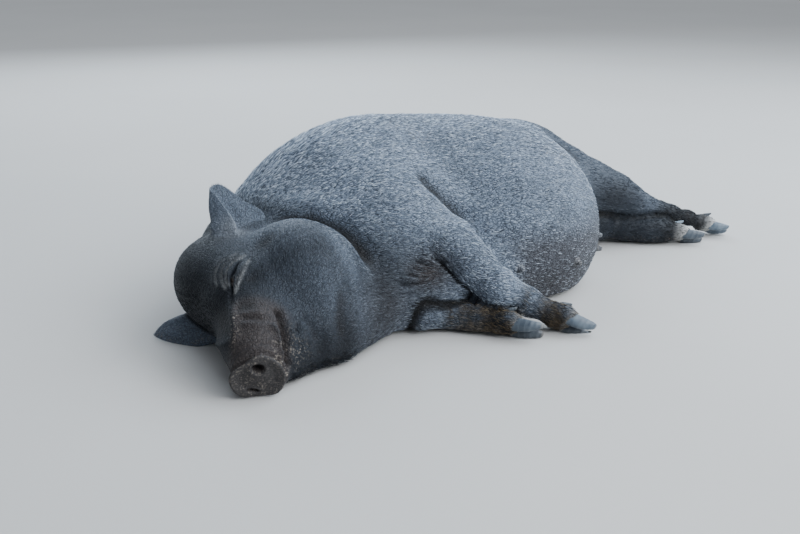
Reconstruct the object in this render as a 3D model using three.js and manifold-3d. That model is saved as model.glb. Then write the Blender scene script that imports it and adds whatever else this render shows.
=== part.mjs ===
// A pot-bellied sow, life size, asleep on her right side: millimetres, +Z up.
// Her head is towards -X, her rump towards +X, her back towards +Y and her belly and legs towards -Y.
// "left" and "right" are the sow's own sides: the left side is on top, and the right side lies on the floor.
// Soft forms are blended distance fields, drawn as surfaces of quads. Each piece is one closed solid.
import * as THREE from "three";
import { mergeVertices } from "three/addons/utils/BufferGeometryUtils.js";
import Module from "manifold-3d";

const wasm = await Module();
wasm.setup();

// ---------------------------------------------------------------- driving dimensions

const GAP = 0.5; // clearance between pieces that meet
const FLOOR_REACH = 2000; // of the block that trims everything below the floor
const BODY_REACH = 800; // of the blocks that part the trunk, neck and head
const CELLS = { trunk: 38, neck: 28, head: 19.5, leg: 16, foot: 12.5, tail: 9 }; // width of a quad

// Masses of flesh: the middle, the half sizes along X, Y and Z, and the turn about Z in degrees.
const trunkMasses = [
  [[-104, 80, 118], [212, 183, 151], 0], // ribs
  [[60, 1, 88], [185, 229, 171], -14], // belly
  [[230, 112, 104], [142, 134, 120], 0], // rump
  [[-220, 102, 96], [130, 118, 98], 0], // withers
  [[-190, -45, 140], [80, 90, 68], 0], // left shoulder
  [[-252, -45, 68], [100, 100, 82], 0], // chest
  [[-296, -110, 42], [86, 66, 60], 29], // brisket, hanging between jowl and forelegs
  [[-118, -140, 52], [100, 66, 41], 12], // breast, between the forelegs
];
const neckMass = [[-322, 50, 86], [118, 112, 88], 0];
const headMasses = [
  [[-436, 18, 80], [67, 70, 65], 0], // back of the skull
  [[-448, -48, 80], [64, 84, 66], 18], // forehead
  [[-382, -100, 98], [80, 94, 84], 10], // cheek
  [[-375, -120, 40], [92, 89, 58], 12], // jowl
];

// Chains of balls, each one [x, y, z, radius].
const lowerJaw = [[-395, -140, 48, 58], [-455, -172, 32, 34], [-488, -192, 24, 24]];
const muzzle = [[-466, -105, 76, 56], [-494, -158, 56, 44], [-516, -193, 39, 35]];
const tailBalls = [
  [346, 100, 132, 17],
  [376, 106, 112, 12],
  [388, 112, 84, 9],
  [392, 120, 50, 7.5],
  [397, 130, 20, 7],
  [408, 144, 7, 6.5],
  [430, 160, 5, 6],
];

// How widely flesh runs together where masses meet.
const FILLETS = {
  trunk: 70,
  neck: 60,
  head: 32,
  headToNeck: 34,
  jaws: 20,
  tail: 6,
  leg: 18,
  foot: 9,
  digit: 6,
};

// The planes that part the trunk from the neck, and the neck from the head.
const trunkCut = { point: [-282, 60, 100], normal: [-1, -0.15, 0] };
const headCut = { point: [-375, 30, 90], normal: [-0.9, -0.45, 0] };

const snoutAt = [-530, -219, 27.5];
const snoutFacing = [-0.45, -0.88, -0.12];
const snoutUpward = [-0.88, 0.43, 0.21];
const snoutRound = [35, 31]; // half the disc's height from chin to bridge, and half its breadth
const rimStands = 2; // the disc's face over its widest ring
const snoutProfile = [
  [0, -20],
  [0.74, -20],
  [0.83, -9],
  [0.96, -5],
  [1, 0],
  [0.93, 3.5],
  [0.74, rimStands],
  [0, 2.5],
]; // from the axis behind the disc round to the axis in front: [share of the half size, height]
const nostrilAt = [2, 14]; // up from the middle of the disc, and out to each side
const nostrilHole = [7.5, 6, 11]; // half sizes, the last one in depth

const eyeRadius = 10;
const eyeShows = 2; // how far the ball stands out of the head
const eyes = { eye_left: [-491, -112, 126], eye_right: [-502, -96, 32] };

// Each ear is a leaf: its outline is in [along, across] from the base, and its front edge folds over.
const ears = {
  ear_left: {
    base: [-424, 8, 143],
    along: [0.18, 0.655, 0.735],
    across: [0.927, -0.363, 0.096],
    outline: [[20, 54], [50, 32], [78, 11], [85, -2], [72, -20], [38, -44], [0, -66], [-22, -62], [-16, 28]],
    thickness: 6,
    hollow: 5,
    detail: 8,
    foldAt: [-17, -5],
    foldRadius: 6,
    foldTurn: 2.5,
  },
  ear_right: {
    base: [-470, -5, 30],
    along: [-0.687, 0.675, -0.27],
    across: [-0.38, -0.65, -0.656],
    outline: [[16, 34], [52, 22], [78, 8], [84, -2], [66, -18], [30, -28], [-16, -28], [-18, 26]],
    thickness: 6,
    hollow: 6,
    detail: 7,
    foldAt: [-20, -12],
    foldRadius: 10,
    foldTurn: 1.2,
  },
};

// Each leg is a chain of balls [x, y, z, radius] down to the fetlock. Its two digits lie one above the other and
// end in claws that point along toes. A foot's roll, in degrees, brings its upper digit forward over the lower.
const legs = {
  foreleg_left: {
    balls: [
      [-192, -82, 132, 58],
      [-146, -148, 109, 39],
      [-141, -186, 90, 32],
      [-127, -229, 64, 25.5],
      [-93, -252, 42, 18.5],
      [-67, -288, 24, 17],
    ],
    toes: [0.52, -0.8, -0.4],
    roll: 30,
    size: 1,
  },
  foreleg_right: {
    balls: [
      [-235, -95, 52, 46],
      [-214, -163, 30, 26],
      [-177, -186, 23, 21],
      [-159, -214, 20.5, 19],
      [-139, -252, 19, 17.5],
    ],
    toes: [0.47, -0.87, -0.12],
    roll: 40,
    size: 1,
  },
  hindleg_left: {
    balls: [
      [276, 24, 102, 80],
      [320, -12, 95, 55],
      [356, -44, 93, 34],
      [379, -66, 79, 24.5],
      [406, -76, 67, 18],
      [434, -87, 57, 14],
      [460, -95, 49, 12],
      [495, -105, 36, 11],
      [524, -118, 24, 12],
    ],
    toes: [0.56, -0.78, -0.24],
    roll: 55,
    size: 0.86,
  },
  hindleg_right: {
    balls: [
      [262, 14, 62, 66],
      [316, -24, 46, 38],
      [362, -28, 34, 28],
      [380, -56, 30, 27],
      [404, -82, 26, 25],
      [424, -101, 23, 21.5],
      [441, -116, 20, 17],
    ],
    toes: [0.61, -0.76, -0.19],
    roll: 50,
    size: 0.94,
  },
};

const digitSpread = 12.3; // from the foot's middle line to a digit's own
const footLength = 22; // from the fetlock to the claws
const clawSize = { length: 48, width: 23, height: 31, rings: 7 };
const dewclawSize = { length: 20, width: 10, height: 11, rings: 4 };

// Only the upper row of teats shows: the lower one is pressed into the floor.
const teats = [
  [-54, -207, 71],
  [55, -223, 64],
  [146, -186, 61],
  [179, -157, 71],
  [205, -125, 84],
];
const teatSize = { radius: 5.5, stands: 8 };

// ---------------------------------------------------------------- finishes

const hide = (color, roughness) => new THREE.MeshStandardMaterial({ color, roughness, metalness: 0 });
const SKIN = hide(0x2b2d33, 0.62);
const SNOUT = hide(0x4a4744, 0.5);
const HORN = hide(0x3a444d, 0.4);
const EYE = hide(0x0c0a09, 0.08);

// ---------------------------------------------------------------- distance fields
// A field is a function of x, y, z that is negative inside and roughly in millimetres.

// An ellipsoid mass of flesh, turned by yaw degrees about Z.
function mass([cx, cy, cz], [rx, ry, rz], yaw) {
  const [cos, sin] = [Math.cos(THREE.MathUtils.degToRad(yaw)), Math.sin(THREE.MathUtils.degToRad(yaw))];
  return (x, y, z) => {
    const [dx, dy] = [x - cx, y - cy];
    const a = (cos * dx + sin * dy) / rx;
    const b = (cos * dy - sin * dx) / ry;
    const c = (z - cz) / rz;
    const reach = Math.hypot(a, b, c);
    const slope = Math.hypot(a / rx, b / ry, c / rz);
    return slope < 1e-9 ? -Math.min(rx, ry, rz) : (reach * (reach - 1)) / slope;
  };
}

// A cone with round ends, from a ball of radius ra at a to a ball of radius rb at b.
function taper([ax, ay, az, ra], [bx, by, bz, rb]) {
  const [ux, uy, uz] = [bx - ax, by - ay, bz - az];
  const l2 = ux * ux + uy * uy + uz * uz;
  const rr = ra - rb;
  const a2 = l2 - rr * rr;
  return (x, y, z) => {
    const [px, py, pz] = [x - ax, y - ay, z - az];
    const along = px * ux + py * uy + pz * uz;
    const past = along - l2;
    const [wx, wy, wz] = [px * l2 - ux * along, py * l2 - uy * along, pz * l2 - uz * along];
    const x2 = wx * wx + wy * wy + wz * wz;
    const y2 = along * along * l2;
    const z2 = past * past * l2;
    const k = Math.sign(rr) * rr * rr * x2;
    if (Math.sign(past) * a2 * z2 > k) return Math.sqrt(x2 + z2) / l2 - rb;
    if (Math.sign(along) * a2 * y2 < k) return Math.sqrt(x2 + y2) / l2 - ra;
    return (Math.sqrt(x2 * a2 / l2) + along * rr) / l2 - ra;
  };
}

// Fields joined with a fillet about as wide as soft.
function blend(soft, ...fields) {
  return (x, y, z) => {
    let d = fields[0](x, y, z);
    for (let i = 1; i < fields.length; i++) {
      const e = fields[i](x, y, z);
      const h = Math.max(soft - Math.abs(d - e), 0) / soft;
      d = Math.min(d, e) - (h * h * soft) / 4;
    }
    return d;
  };
}

// A chain of tapers through balls given as [x, y, z, radius].
const limb = (soft, balls) => blend(soft, ...balls.slice(1).map((ball, i) => taper(balls[i], ball)));

// The direction in which a field rises fastest, as a unit vector: out of the body.
function outward(field, p) {
  const e = 0.05;
  const slope = [0, 1, 2].map((axis) => {
    const [q, r] = [[...p], [...p]];
    q[axis] += e;
    r[axis] -= e;
    return field(...q) - field(...r);
  });
  const length = Math.hypot(...slope) || 1;
  return slope.map((d) => d / length);
}

// The point near start that lies depth under the field's surface.
function under(field, start, depth, longest = 6) {
  let p = start;
  for (let n = 0; n < 4; n++) {
    const out = outward(field, p);
    const move = Math.max(-longest, Math.min(longest, field(...p) + depth));
    p = p.map((c, axis) => c - move * out[axis]);
  }
  return p;
}

// ---------------------------------------------------------------- surfaces and solids

// The surface of a field inside a box, as quads about one cell wide: a vertex in each cell that the
// surface crosses, moved onto the surface itself.
function surface(field, [x0, y0, z0], [x1, y1, z1], cell) {
  const [nx, ny, nz] = [x1 - x0, y1 - y0, z1 - z0].map((size) => Math.ceil(size / cell) + 1);
  const index = (i, j, k) => (i * ny + j) * nz + k;
  const value = new Float32Array(nx * ny * nz);
  for (let i = 0; i < nx; i++)
    for (let j = 0; j < ny; j++)
      for (let k = 0; k < nz; k++) {
        const rim = i === 0 || j === 0 || k === 0 || i === nx - 1 || j === ny - 1 || k === nz - 1;
        value[index(i, j, k)] = rim ? cell : field(x0 + i * cell, y0 + j * cell, z0 + k * cell);
      }
  const settle = (start) => (Math.abs(field(...start)) > cell ? start : under(field, start, 0, cell / 3));
  const corners = [0, 1, 2, 3, 4, 5, 6, 7].map((c) => [c & 1, (c >> 1) & 1, c >> 2]);
  const vertexOf = new Int32Array(nx * ny * nz).fill(-1);
  const points = [];
  for (let i = 0; i < nx - 1; i++)
    for (let j = 0; j < ny - 1; j++)
      for (let k = 0; k < nz - 1; k++) {
        const v = corners.map(([a, b, c]) => value[index(i + a, j + b, k + c)]);
        if (v.every((d) => d < 0) || v.every((d) => d >= 0)) continue;
        const sum = [0, 0, 0];
        let crossings = 0;
        for (let a = 0; a < 8; a++)
          for (const bit of [1, 2, 4]) {
            const b = a ^ bit;
            if (b < a || v[a] < 0 === v[b] < 0) continue;
            const t = v[a] / (v[a] - v[b]);
            crossings++;
            for (let axis = 0; axis < 3; axis++)
              sum[axis] += corners[a][axis] + t * (corners[b][axis] - corners[a][axis]);
          }
        const inCell = sum.map((s) => s / crossings);
        vertexOf[index(i, j, k)] = points.length;
        const [a, b, c] = [i + inCell[0], j + inCell[1], k + inCell[2]];
        points.push(settle([x0 + a * cell, y0 + b * cell, z0 + c * cell]));
      }
  const faces = [];
  const quad = (a, b, c, d, flip) => faces.push(...(flip ? [a, c, b, a, d, c] : [a, b, c, a, c, d]));
  for (let i = 0; i < nx - 1; i++)
    for (let j = 0; j < ny - 1; j++)
      for (let k = 0; k < nz - 1; k++) {
        const here = value[index(i, j, k)] < 0;
        const crosses = (a, b, c) => here !== value[index(i + a, j + b, k + c)] < 0;
        const at = (a, b, c) => vertexOf[index(i - a, j - b, k - c)];
        if (j && k && crosses(1, 0, 0)) quad(at(0, 1, 1), at(0, 0, 1), at(0, 0, 0), at(0, 1, 0), !here);
        if (i && k && crosses(0, 1, 0)) quad(at(1, 0, 1), at(1, 0, 0), at(0, 0, 0), at(0, 0, 1), !here);
        if (i && j && crosses(0, 0, 1)) quad(at(1, 1, 0), at(0, 1, 0), at(0, 0, 0), at(1, 0, 0), !here);
      }
  const geometry = new THREE.BufferGeometry();
  geometry.setAttribute("position", new THREE.Float32BufferAttribute(points.flat(), 3));
  geometry.setIndex(faces);
  return geometry;
}

function solid(geometry) {
  const g = geometry.clone();
  g.deleteAttribute("normal");
  g.deleteAttribute("uv");
  const merged = mergeVertices(g, 1e-3);
  return new wasm.Manifold(
    new wasm.Mesh({
      numProp: 3,
      vertProperties: new Float32Array(merged.attributes.position.array),
      triVerts: new Uint32Array(merged.index.array),
    }),
  );
}

function geometryOf(piece) {
  const mesh = piece.getMesh();
  const geometry = new THREE.BufferGeometry();
  geometry.setAttribute("position", new THREE.BufferAttribute(new Float32Array(mesh.vertProperties), 3));
  geometry.setIndex(new THREE.BufferAttribute(new Uint32Array(mesh.triVerts), 1));
  return geometry;
}

// A copy of a piece that stands out by the gap all round, to cut its neighbours with.
function grown(piece) {
  const geometry = geometryOf(piece);
  geometry.computeVertexNormals();
  const { position, normal } = geometry.attributes;
  for (let i = 0; i < position.count; i++)
    position.setXYZ(
      i,
      position.getX(i) + GAP * normal.getX(i),
      position.getY(i) + GAP * normal.getY(i),
      position.getZ(i) + GAP * normal.getZ(i),
    );
  return solid(geometry);
}

// A block that fills the side of a plane that its normal points to, out to reach.
function beyond(point, normal, reach = 500, start = 0) {
  const block = new THREE.BoxGeometry(2 * reach, 2 * reach, reach);
  block.translate(0, 0, reach / 2 + start);
  const direction = new THREE.Vector3(...normal).normalize();
  block.applyQuaternion(new THREE.Quaternion().setFromUnitVectors(new THREE.Vector3(0, 0, 1), direction));
  block.translate(...point);
  return solid(block);
}

const floorBlock = beyond([0, 0, 0], [0, 0, -1], FLOOR_REACH);
const onFloor = (piece) => piece.subtract(floorBlock);

// The largest of a solid's separate bodies.
const mainBody = (piece) => piece.decompose().sort((a, b) => b.volume() - a.volume())[0];

// ---------------------------------------------------------------- head, neck and trunk

const masses = (soft, list) => blend(soft, ...list.map(([at, half, yaw]) => mass(at, half, yaw)));
const headField = blend(
  FILLETS.head,
  ...headMasses.map(([at, half, yaw]) => mass(at, half, yaw)),
  limb(FILLETS.jaws, lowerJaw),
  limb(FILLETS.jaws, muzzle),
);
const trunkAndNeck = blend(FILLETS.neck, masses(FILLETS.trunk, trunkMasses), mass(...neckMass));
const bodyField = blend(FILLETS.headToNeck, trunkAndNeck, headField);

const drawn = (low, high, cell) => onFloor(solid(surface(bodyField, low, high, cell)));
const wholeTrunk = drawn([-460, -270, -60], [460, 310, 330], CELLS.trunk);
const wholeNeck = drawn([-540, -330, -60], [-180, 300, 300], CELLS.neck);
const wholeHead = drawn([-620, -330, -40], [-290, 210, 270], CELLS.head);

const behindTrunkCut = beyond(trunkCut.point, trunkCut.normal, BODY_REACH, GAP);
const behindHeadCut = beyond(headCut.point, headCut.normal, BODY_REACH, GAP);
const bareTrunk = mainBody(wholeTrunk.subtract(beyond(trunkCut.point, trunkCut.normal, BODY_REACH)));
const neckAndHead = wholeNeck.intersect(behindTrunkCut);
const neck = mainBody(neckAndHead.subtract(beyond(headCut.point, headCut.normal, BODY_REACH)));
const bareHead = mainBody(wholeHead.intersect(behindHeadCut));

// ---------------------------------------------------------------- snout disc, eyes and ears

// A round solid turned about its own +Z, which is then pointed along facing, with +X kept near to upward.
function aim(geometry, [x, y, z], facing, upward) {
  const zAxis = new THREE.Vector3(...facing).normalize();
  const yAxis = new THREE.Vector3().crossVectors(zAxis, new THREE.Vector3(...upward)).normalize();
  const xAxis = new THREE.Vector3().crossVectors(yAxis, zAxis);
  return geometry.applyMatrix4(new THREE.Matrix4().makeBasis(xAxis, yAxis, zAxis).setPosition(x, y, z));
}

function snoutDisc() {
  const disc = new THREE.LatheGeometry(
    snoutProfile.map(([share, height]) => new THREE.Vector2(share, height)),
    20,
  ).rotateX(Math.PI / 2);
  disc.scale(...snoutRound, 1);
  let piece = solid(aim(disc, snoutAt, snoutFacing, snoutUpward));
  for (const side of [-1, 1]) {
    const hole = new THREE.SphereGeometry(1, 8, 6).scale(...nostrilHole);
    hole.translate(nostrilAt[0], side * nostrilAt[1], rimStands);
    piece = piece.subtract(solid(aim(hole, snoutAt, snoutFacing, snoutUpward)));
  }
  return mainBody(onFloor(piece));
}
const snout = snoutDisc();

function eyeball(near) {
  const middle = under(bodyField, near, eyeRadius - eyeShows);
  return solid(new THREE.SphereGeometry(eyeRadius, 8, 6).translate(...middle));
}
const eyeballs = Object.fromEntries(Object.entries(eyes).map(([name, near]) => [name, eyeball(near)]));

// A thin hollowed leaf whose front edge folds over: from foldAt, given across at the base and at the tip,
// it turns by foldTurn round a radius of foldRadius and runs on straight.
function leaf({ base, along, across, outline, thickness, hollow, foldAt, foldRadius, foldTurn, detail }) {
  const rim = new THREE.CatmullRomCurve3(
    outline.map(([a, b]) => new THREE.Vector3(a, b, 0)),
    true,
  );
  const t = new THREE.Vector3(...along).normalize();
  const n = new THREE.Vector3(...across).cross(t).normalize();
  const s = new THREE.Vector3().crossVectors(t, n);
  const middle = new THREE.Vector3();
  outline.forEach(([a, b]) => middle.add(new THREE.Vector3(a, b, 0).divideScalar(outline.length)));
  const leafGeometry = new THREE.SphereGeometry(1, 2 * detail, detail).rotateX(Math.PI / 2);
  const { position } = leafGeometry.attributes;
  for (let i = 0; i < position.count; i++) {
    const [x, y, z] = [position.getX(i), position.getY(i), position.getZ(i)];
    const reach = Math.hypot(x, y);
    const turn = (Math.atan2(y, x) / (2 * Math.PI) + 1) % 1;
    const p = rim.getPointAt(turn).sub(middle).multiplyScalar(reach).add(middle);
    const lift = (thickness / 2) * z;
    const [a, b] = [p.x, p.y];
    const flat = Math.max(b, THREE.MathUtils.mapLinear(a, 0, outline[3][0], ...foldAt));
    const angle = Math.min((flat - b) / foldRadius, foldTurn);
    const flap = flat - b - angle * foldRadius;
    const radius = foldRadius - lift;
    const acrossBy = flat - radius * Math.sin(angle) - flap * Math.cos(angle);
    const cupped = hollow * (flat / 50) ** 2;
    const lifted = cupped + foldRadius - radius * Math.cos(angle) + flap * Math.sin(angle);
    const q = new THREE.Vector3(...base).addScaledVector(t, a).addScaledVector(s, acrossBy);
    q.addScaledVector(n, lifted);
    position.setXYZ(i, q.x, q.y, q.z);
  }
  return solid(leafGeometry);
}

// ---------------------------------------------------------------- claws

// A claw with a rounded wall, a flat sole and a blunt tip. It points along, and front is its wall's side.
function claw({ at, along, front, size, length, width, height, rings }) {
  const shape = new THREE.SphereGeometry(1, 8, rings).rotateX(Math.PI / 2);
  const { position } = shape.attributes;
  for (let i = 0; i < position.count; i++) {
    const [x, y, z] = [position.getX(i), position.getY(i), position.getZ(i)];
    const forward = (z + 1) / 2;
    const blunt = (1.001 - z * z) ** -0.25;
    const wall = blunt * (1 - 0.5 * forward) * (x > 0 ? x : x * 0.55);
    const drop = 0.2 * forward ** 2;
    const breadth = blunt * (1 - 0.3 * forward) * y;
    position.setXYZ(i, height * (0.5 * wall - drop), 0.5 * width * breadth, length * forward);
  }
  shape.scale(size, size, size);
  return solid(aim(shape, at, along, front));
}

// A point moved along each of some directions by a distance.
const walk = (point, ...moves) =>
  moves.reduce((p, [v, d]) => p.map((c, axis) => c + d * v[axis]), point);
const unit = (v) => new THREE.Vector3(...v).normalize().toArray();
const cross = (v, w) => new THREE.Vector3(...v).cross(new THREE.Vector3(...w)).toArray();

// ---------------------------------------------------------------- legs

// The low and high corners of the box that leaves some room round points.
function around(points, room) {
  const box = new THREE.Box3().setFromPoints(points.map((p) => new THREE.Vector3(...p)));
  return [box.min.subScalar(room).toArray(), box.max.addScalar(room).toArray()];
}

const feet = {};
const limbs = {};
const claws = {};
for (const [name, { balls, toes, roll, size }] of Object.entries(legs)) {
  const fetlock = balls.at(-1).slice(0, 3);
  const forward = unit(toes);
  const level = unit(cross(forward, [0, 0, 1]));
  const turn = THREE.MathUtils.degToRad(roll);
  const digits = walk([0, 0, 0], [cross(level, forward), Math.cos(turn)], [level, Math.sin(turn)]);
  const front = unit(cross(forward, digits));
  const parts = [limb(FILLETS.leg, balls)];
  const horn = [];
  for (const side of [1, -1]) {
    const sideways = [digits, side * digitSpread * size];
    const knuckle = walk(fetlock, [forward, 13 * size], sideways);
    const end = walk(fetlock, [forward, footLength * size], sideways);
    const root = walk(fetlock, [digits, side * 5 * size]);
    parts.push(limb(FILLETS.digit, [[...root, 15 * size], [...knuckle, 12.5 * size], [...end, 11.5 * size]]));
    const clawRoot = walk(end, [forward, -10 * size], [front, 1]);
    const heel = walk(fetlock, [front, -15 * size], [forward, -2 * size]);
    const dewclawRoot = walk(heel, [digits, side * 9 * size]);
    horn.push([
      side > 0 ? "upper" : "lower",
      claw({ at: clawRoot, along: forward, front, size, ...clawSize }),
      claw({
        at: dewclawRoot,
        along: walk(forward, [front, -0.4]),
        front: walk(front, [forward, 0.4]),
        size,
        ...dewclawSize,
      }),
    ]);
  }
  const field = blend(FILLETS.foot, ...parts);
  const cutAt = walk(fetlock, [forward, -14 * size]);
  const lastBone = unit(walk(fetlock, [balls.at(-2), -1]));
  const radius = balls[0][3];
  const wholeLeg = onFloor(solid(surface(field, ...around([...balls, cutAt], radius + 12), CELLS.leg)));
  const toeEnd = walk(fetlock, [forward, 60 * size]);
  const wholeFoot = onFloor(solid(surface(field, ...around([cutAt, fetlock, toeEnd], 36), CELLS.foot)));
  const foot = name.replace("leg", "foot");
  limbs[name] = mainBody(wholeLeg.subtract(beyond(cutAt, lastBone)));
  feet[foot] = mainBody(wholeFoot.intersect(beyond(cutAt, lastBone, 500, GAP)));
  for (const [which, main, dew] of horn) {
    claws[`claw_${foot}_${which}`] = onFloor(main);
    claws[`dewclaw_${foot}_${which}`] = onFloor(dew);
    feet[foot] = feet[foot].subtract(grown(main)).subtract(grown(dew));
    limbs[name] = limbs[name].subtract(grown(dew));
  }
  feet[foot] = mainBody(feet[foot]);
}

// ---------------------------------------------------------------- tail and teats

const tailField = limb(FILLETS.tail, tailBalls);
const wholeTail = onFloor(solid(surface(tailField, [310, 70, -14], [452, 182, 165], CELLS.tail)));

function teat(near) {
  const root = under(bodyField, near, 3);
  const cone = new THREE.SphereGeometry(1, 6, 4).rotateX(Math.PI / 2);
  cone.scale(teatSize.radius, teatSize.radius, teatSize.stands + 3);
  return solid(aim(cone, root, outward(bodyField, root), [0, 0, 1]));
}

// ---------------------------------------------------------------- the pieces, parted from their neighbours

function without(piece, ...others) {
  return mainBody(others.reduce((left, other) => left.subtract(grown(other)), piece));
}

const trunk = teats.reduce((whole, near) => whole.add(teat(near)), bareTrunk);
const head = without(bareHead, snout, ...Object.values(eyeballs));
const tail = without(wholeTail, trunk);
const earPieces = Object.fromEntries(
  Object.entries(ears).map(([name, shape]) => [name, without(onFloor(leaf(shape)), bareHead, neck)]),
);
limbs.hindleg_left = without(limbs.hindleg_left, limbs.hindleg_right, feet.hindfoot_right);
for (const name of Object.keys(limbs)) limbs[name] = without(limbs[name], trunk, neck);

// ---------------------------------------------------------------- the sow

const sow = new THREE.Group();

function place(name, piece, material) {
  const mesh = new THREE.Mesh(geometryOf(piece), material);
  mesh.name = name;
  sow.add(mesh);
}

place("trunk", trunk, SKIN);
place("neck", neck, SKIN);
place("head", head, SKIN);
place("snout", snout, SNOUT);
place("tail", tail, SKIN);
for (const [name, piece] of Object.entries({ ...earPieces, ...limbs, ...feet })) place(name, piece, SKIN);
for (const [name, piece] of Object.entries(claws)) place(name, piece, HORN);
for (const [name, piece] of Object.entries(eyeballs)) place(name, piece, EYE);

// The row's origin is under the middle of the sow, on the floor.
const bounds = new THREE.Box3().setFromObject(sow);
const middleOf = bounds.getCenter(new THREE.Vector3());
sow.position.set(-middleOf.x, -middleOf.y, 0);

export default sow;
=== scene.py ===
"""A pot-bellied sow, life size, asleep on her right side.

Her head is towards -X, her rump towards +X, her back towards +Y and her belly and legs towards -Y.
Places on the sow are given in millimetres from the drawing's origin, and row() turns them into the
row's metres. A field is a function of an array of points that is negative inside the flesh.
"""
import math

import bmesh
import bpy
import numpy as np
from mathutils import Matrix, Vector, kdtree


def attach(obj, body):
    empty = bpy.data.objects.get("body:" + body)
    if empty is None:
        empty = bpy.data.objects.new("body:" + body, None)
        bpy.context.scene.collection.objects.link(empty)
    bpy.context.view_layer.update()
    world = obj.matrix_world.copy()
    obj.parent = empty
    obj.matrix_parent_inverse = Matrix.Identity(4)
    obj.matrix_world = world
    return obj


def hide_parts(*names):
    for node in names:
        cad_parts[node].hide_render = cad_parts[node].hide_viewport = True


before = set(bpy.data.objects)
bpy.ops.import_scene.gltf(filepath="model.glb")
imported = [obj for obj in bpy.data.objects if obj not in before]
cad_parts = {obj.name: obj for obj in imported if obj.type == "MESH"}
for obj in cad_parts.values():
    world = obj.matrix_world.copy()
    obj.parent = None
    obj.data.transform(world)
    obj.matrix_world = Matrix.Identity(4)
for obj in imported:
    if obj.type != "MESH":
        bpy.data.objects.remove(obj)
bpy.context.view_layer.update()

MM = 0.001
DRAWING_AT = np.array([-1.27, 39.14, 0.0])  # where the drawing's origin lies in the row, in millimetres

FLESH = [
    "trunk", "neck", "head", "snout", "tail", "ear_left", "ear_right",
    "foreleg_left", "foreleg_right", "hindleg_left", "hindleg_right",
    "forefoot_left", "forefoot_right", "hindfoot_left", "hindfoot_right",
]

# Masses of flesh: the middle, the half sizes and the turn about Z in degrees.
TRUNK_MASSES = [
    ((-104, 80, 118), (212, 183, 151), 0),  # ribs
    ((60, 1, 88), (185, 229, 171), -14),  # belly
    ((230, 112, 104), (142, 134, 120), 0),  # rump
    ((-220, 102, 96), (130, 118, 98), 0),  # withers
    ((-190, -45, 140), (80, 90, 68), 0),  # left shoulder
    ((-252, -45, 68), (100, 100, 82), 0),  # chest
    ((-296, -110, 42), (86, 66, 60), 29),  # brisket, hanging between jowl and forelegs
    ((-118, -140, 52), (100, 66, 41), 12),  # breast, between the forelegs
]
NECK_MASS = ((-322, 50, 86), (118, 112, 88), 0)
HEAD_MASSES = [
    ((-436, 18, 80), (67, 70, 65), 0),  # back of the skull
    ((-448, -48, 80), (64, 84, 66), 18),  # forehead
    ((-382, -100, 98), (80, 94, 84), 10),  # cheek
    ((-375, -120, 40), (92, 89, 58), 12),  # jowl
]

# Chains of balls, each one (x, y, z, radius).
LOWER_JAW = [(-395, -140, 48, 58), (-455, -172, 32, 34), (-488, -192, 24, 24)]
MUZZLE = [(-466, -105, 76, 56), (-494, -158, 56, 44), (-516, -193, 39, 35)]
TAIL = [
    (346, 100, 132, 17), (376, 106, 112, 12), (388, 112, 84, 9), (392, 120, 50, 7.5),
    (397, 130, 20, 7), (408, 144, 7, 6.5), (430, 160, 5, 6),
]
LEGS = {
    "foreleg_left": {
        "balls": [
            (-192, -82, 132, 58), (-146, -148, 109, 39), (-141, -186, 90, 32),
            (-127, -229, 64, 25.5), (-93, -252, 42, 18.5), (-67, -288, 24, 17),
        ],
        "toes": (0.52, -0.8, -0.4),
        "roll": 30,
        "size": 1.0,
    },
    "foreleg_right": {
        "balls": [
            (-235, -95, 52, 46), (-214, -163, 30, 26), (-177, -186, 23, 21),
            (-159, -214, 20.5, 19), (-139, -252, 19, 17.5),
        ],
        "toes": (0.47, -0.87, -0.12),
        "roll": 40,
        "size": 1.0,
    },
    "hindleg_left": {
        "balls": [
            (276, 24, 102, 80), (320, -12, 95, 55), (356, -44, 93, 34),
            (379, -66, 79, 24.5), (406, -76, 67, 18), (434, -87, 57, 14),
            (460, -95, 49, 12), (495, -105, 36, 11), (524, -118, 24, 12),
        ],
        "toes": (0.56, -0.78, -0.24),
        "roll": 55,
        "size": 0.86,
    },
    "hindleg_right": {
        "balls": [
            (262, 14, 62, 66), (316, -24, 46, 38), (362, -28, 34, 28), (380, -56, 30, 27),
            (404, -82, 26, 25), (424, -101, 23, 21.5), (441, -116, 20, 17),
        ],
        "toes": (0.61, -0.76, -0.19),
        "roll": 50,
        "size": 0.94,
    },
}
DIGIT_SPREAD = 12.3  # from a foot's middle line to a digit's own
FOOT_LENGTH = 22  # from the fetlock to the claws

SNOUT_AT = (-530, -219, 27.5)
SNOUT_FACING = (-0.45, -0.88, -0.12)
SNOUT_UPWARD = (-0.88, 0.43, 0.21)
SNOUT_ROUND = (35, 31)
SNOUT_THICK = 16
SNOUT_EDGE = 4.5  # radius of the disc's rim
NOSTRIL_AT = (2, 14)

EYES = {"eye_left": (-491, -112, 126), "eye_right": (-502, -96, 32)}

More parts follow.
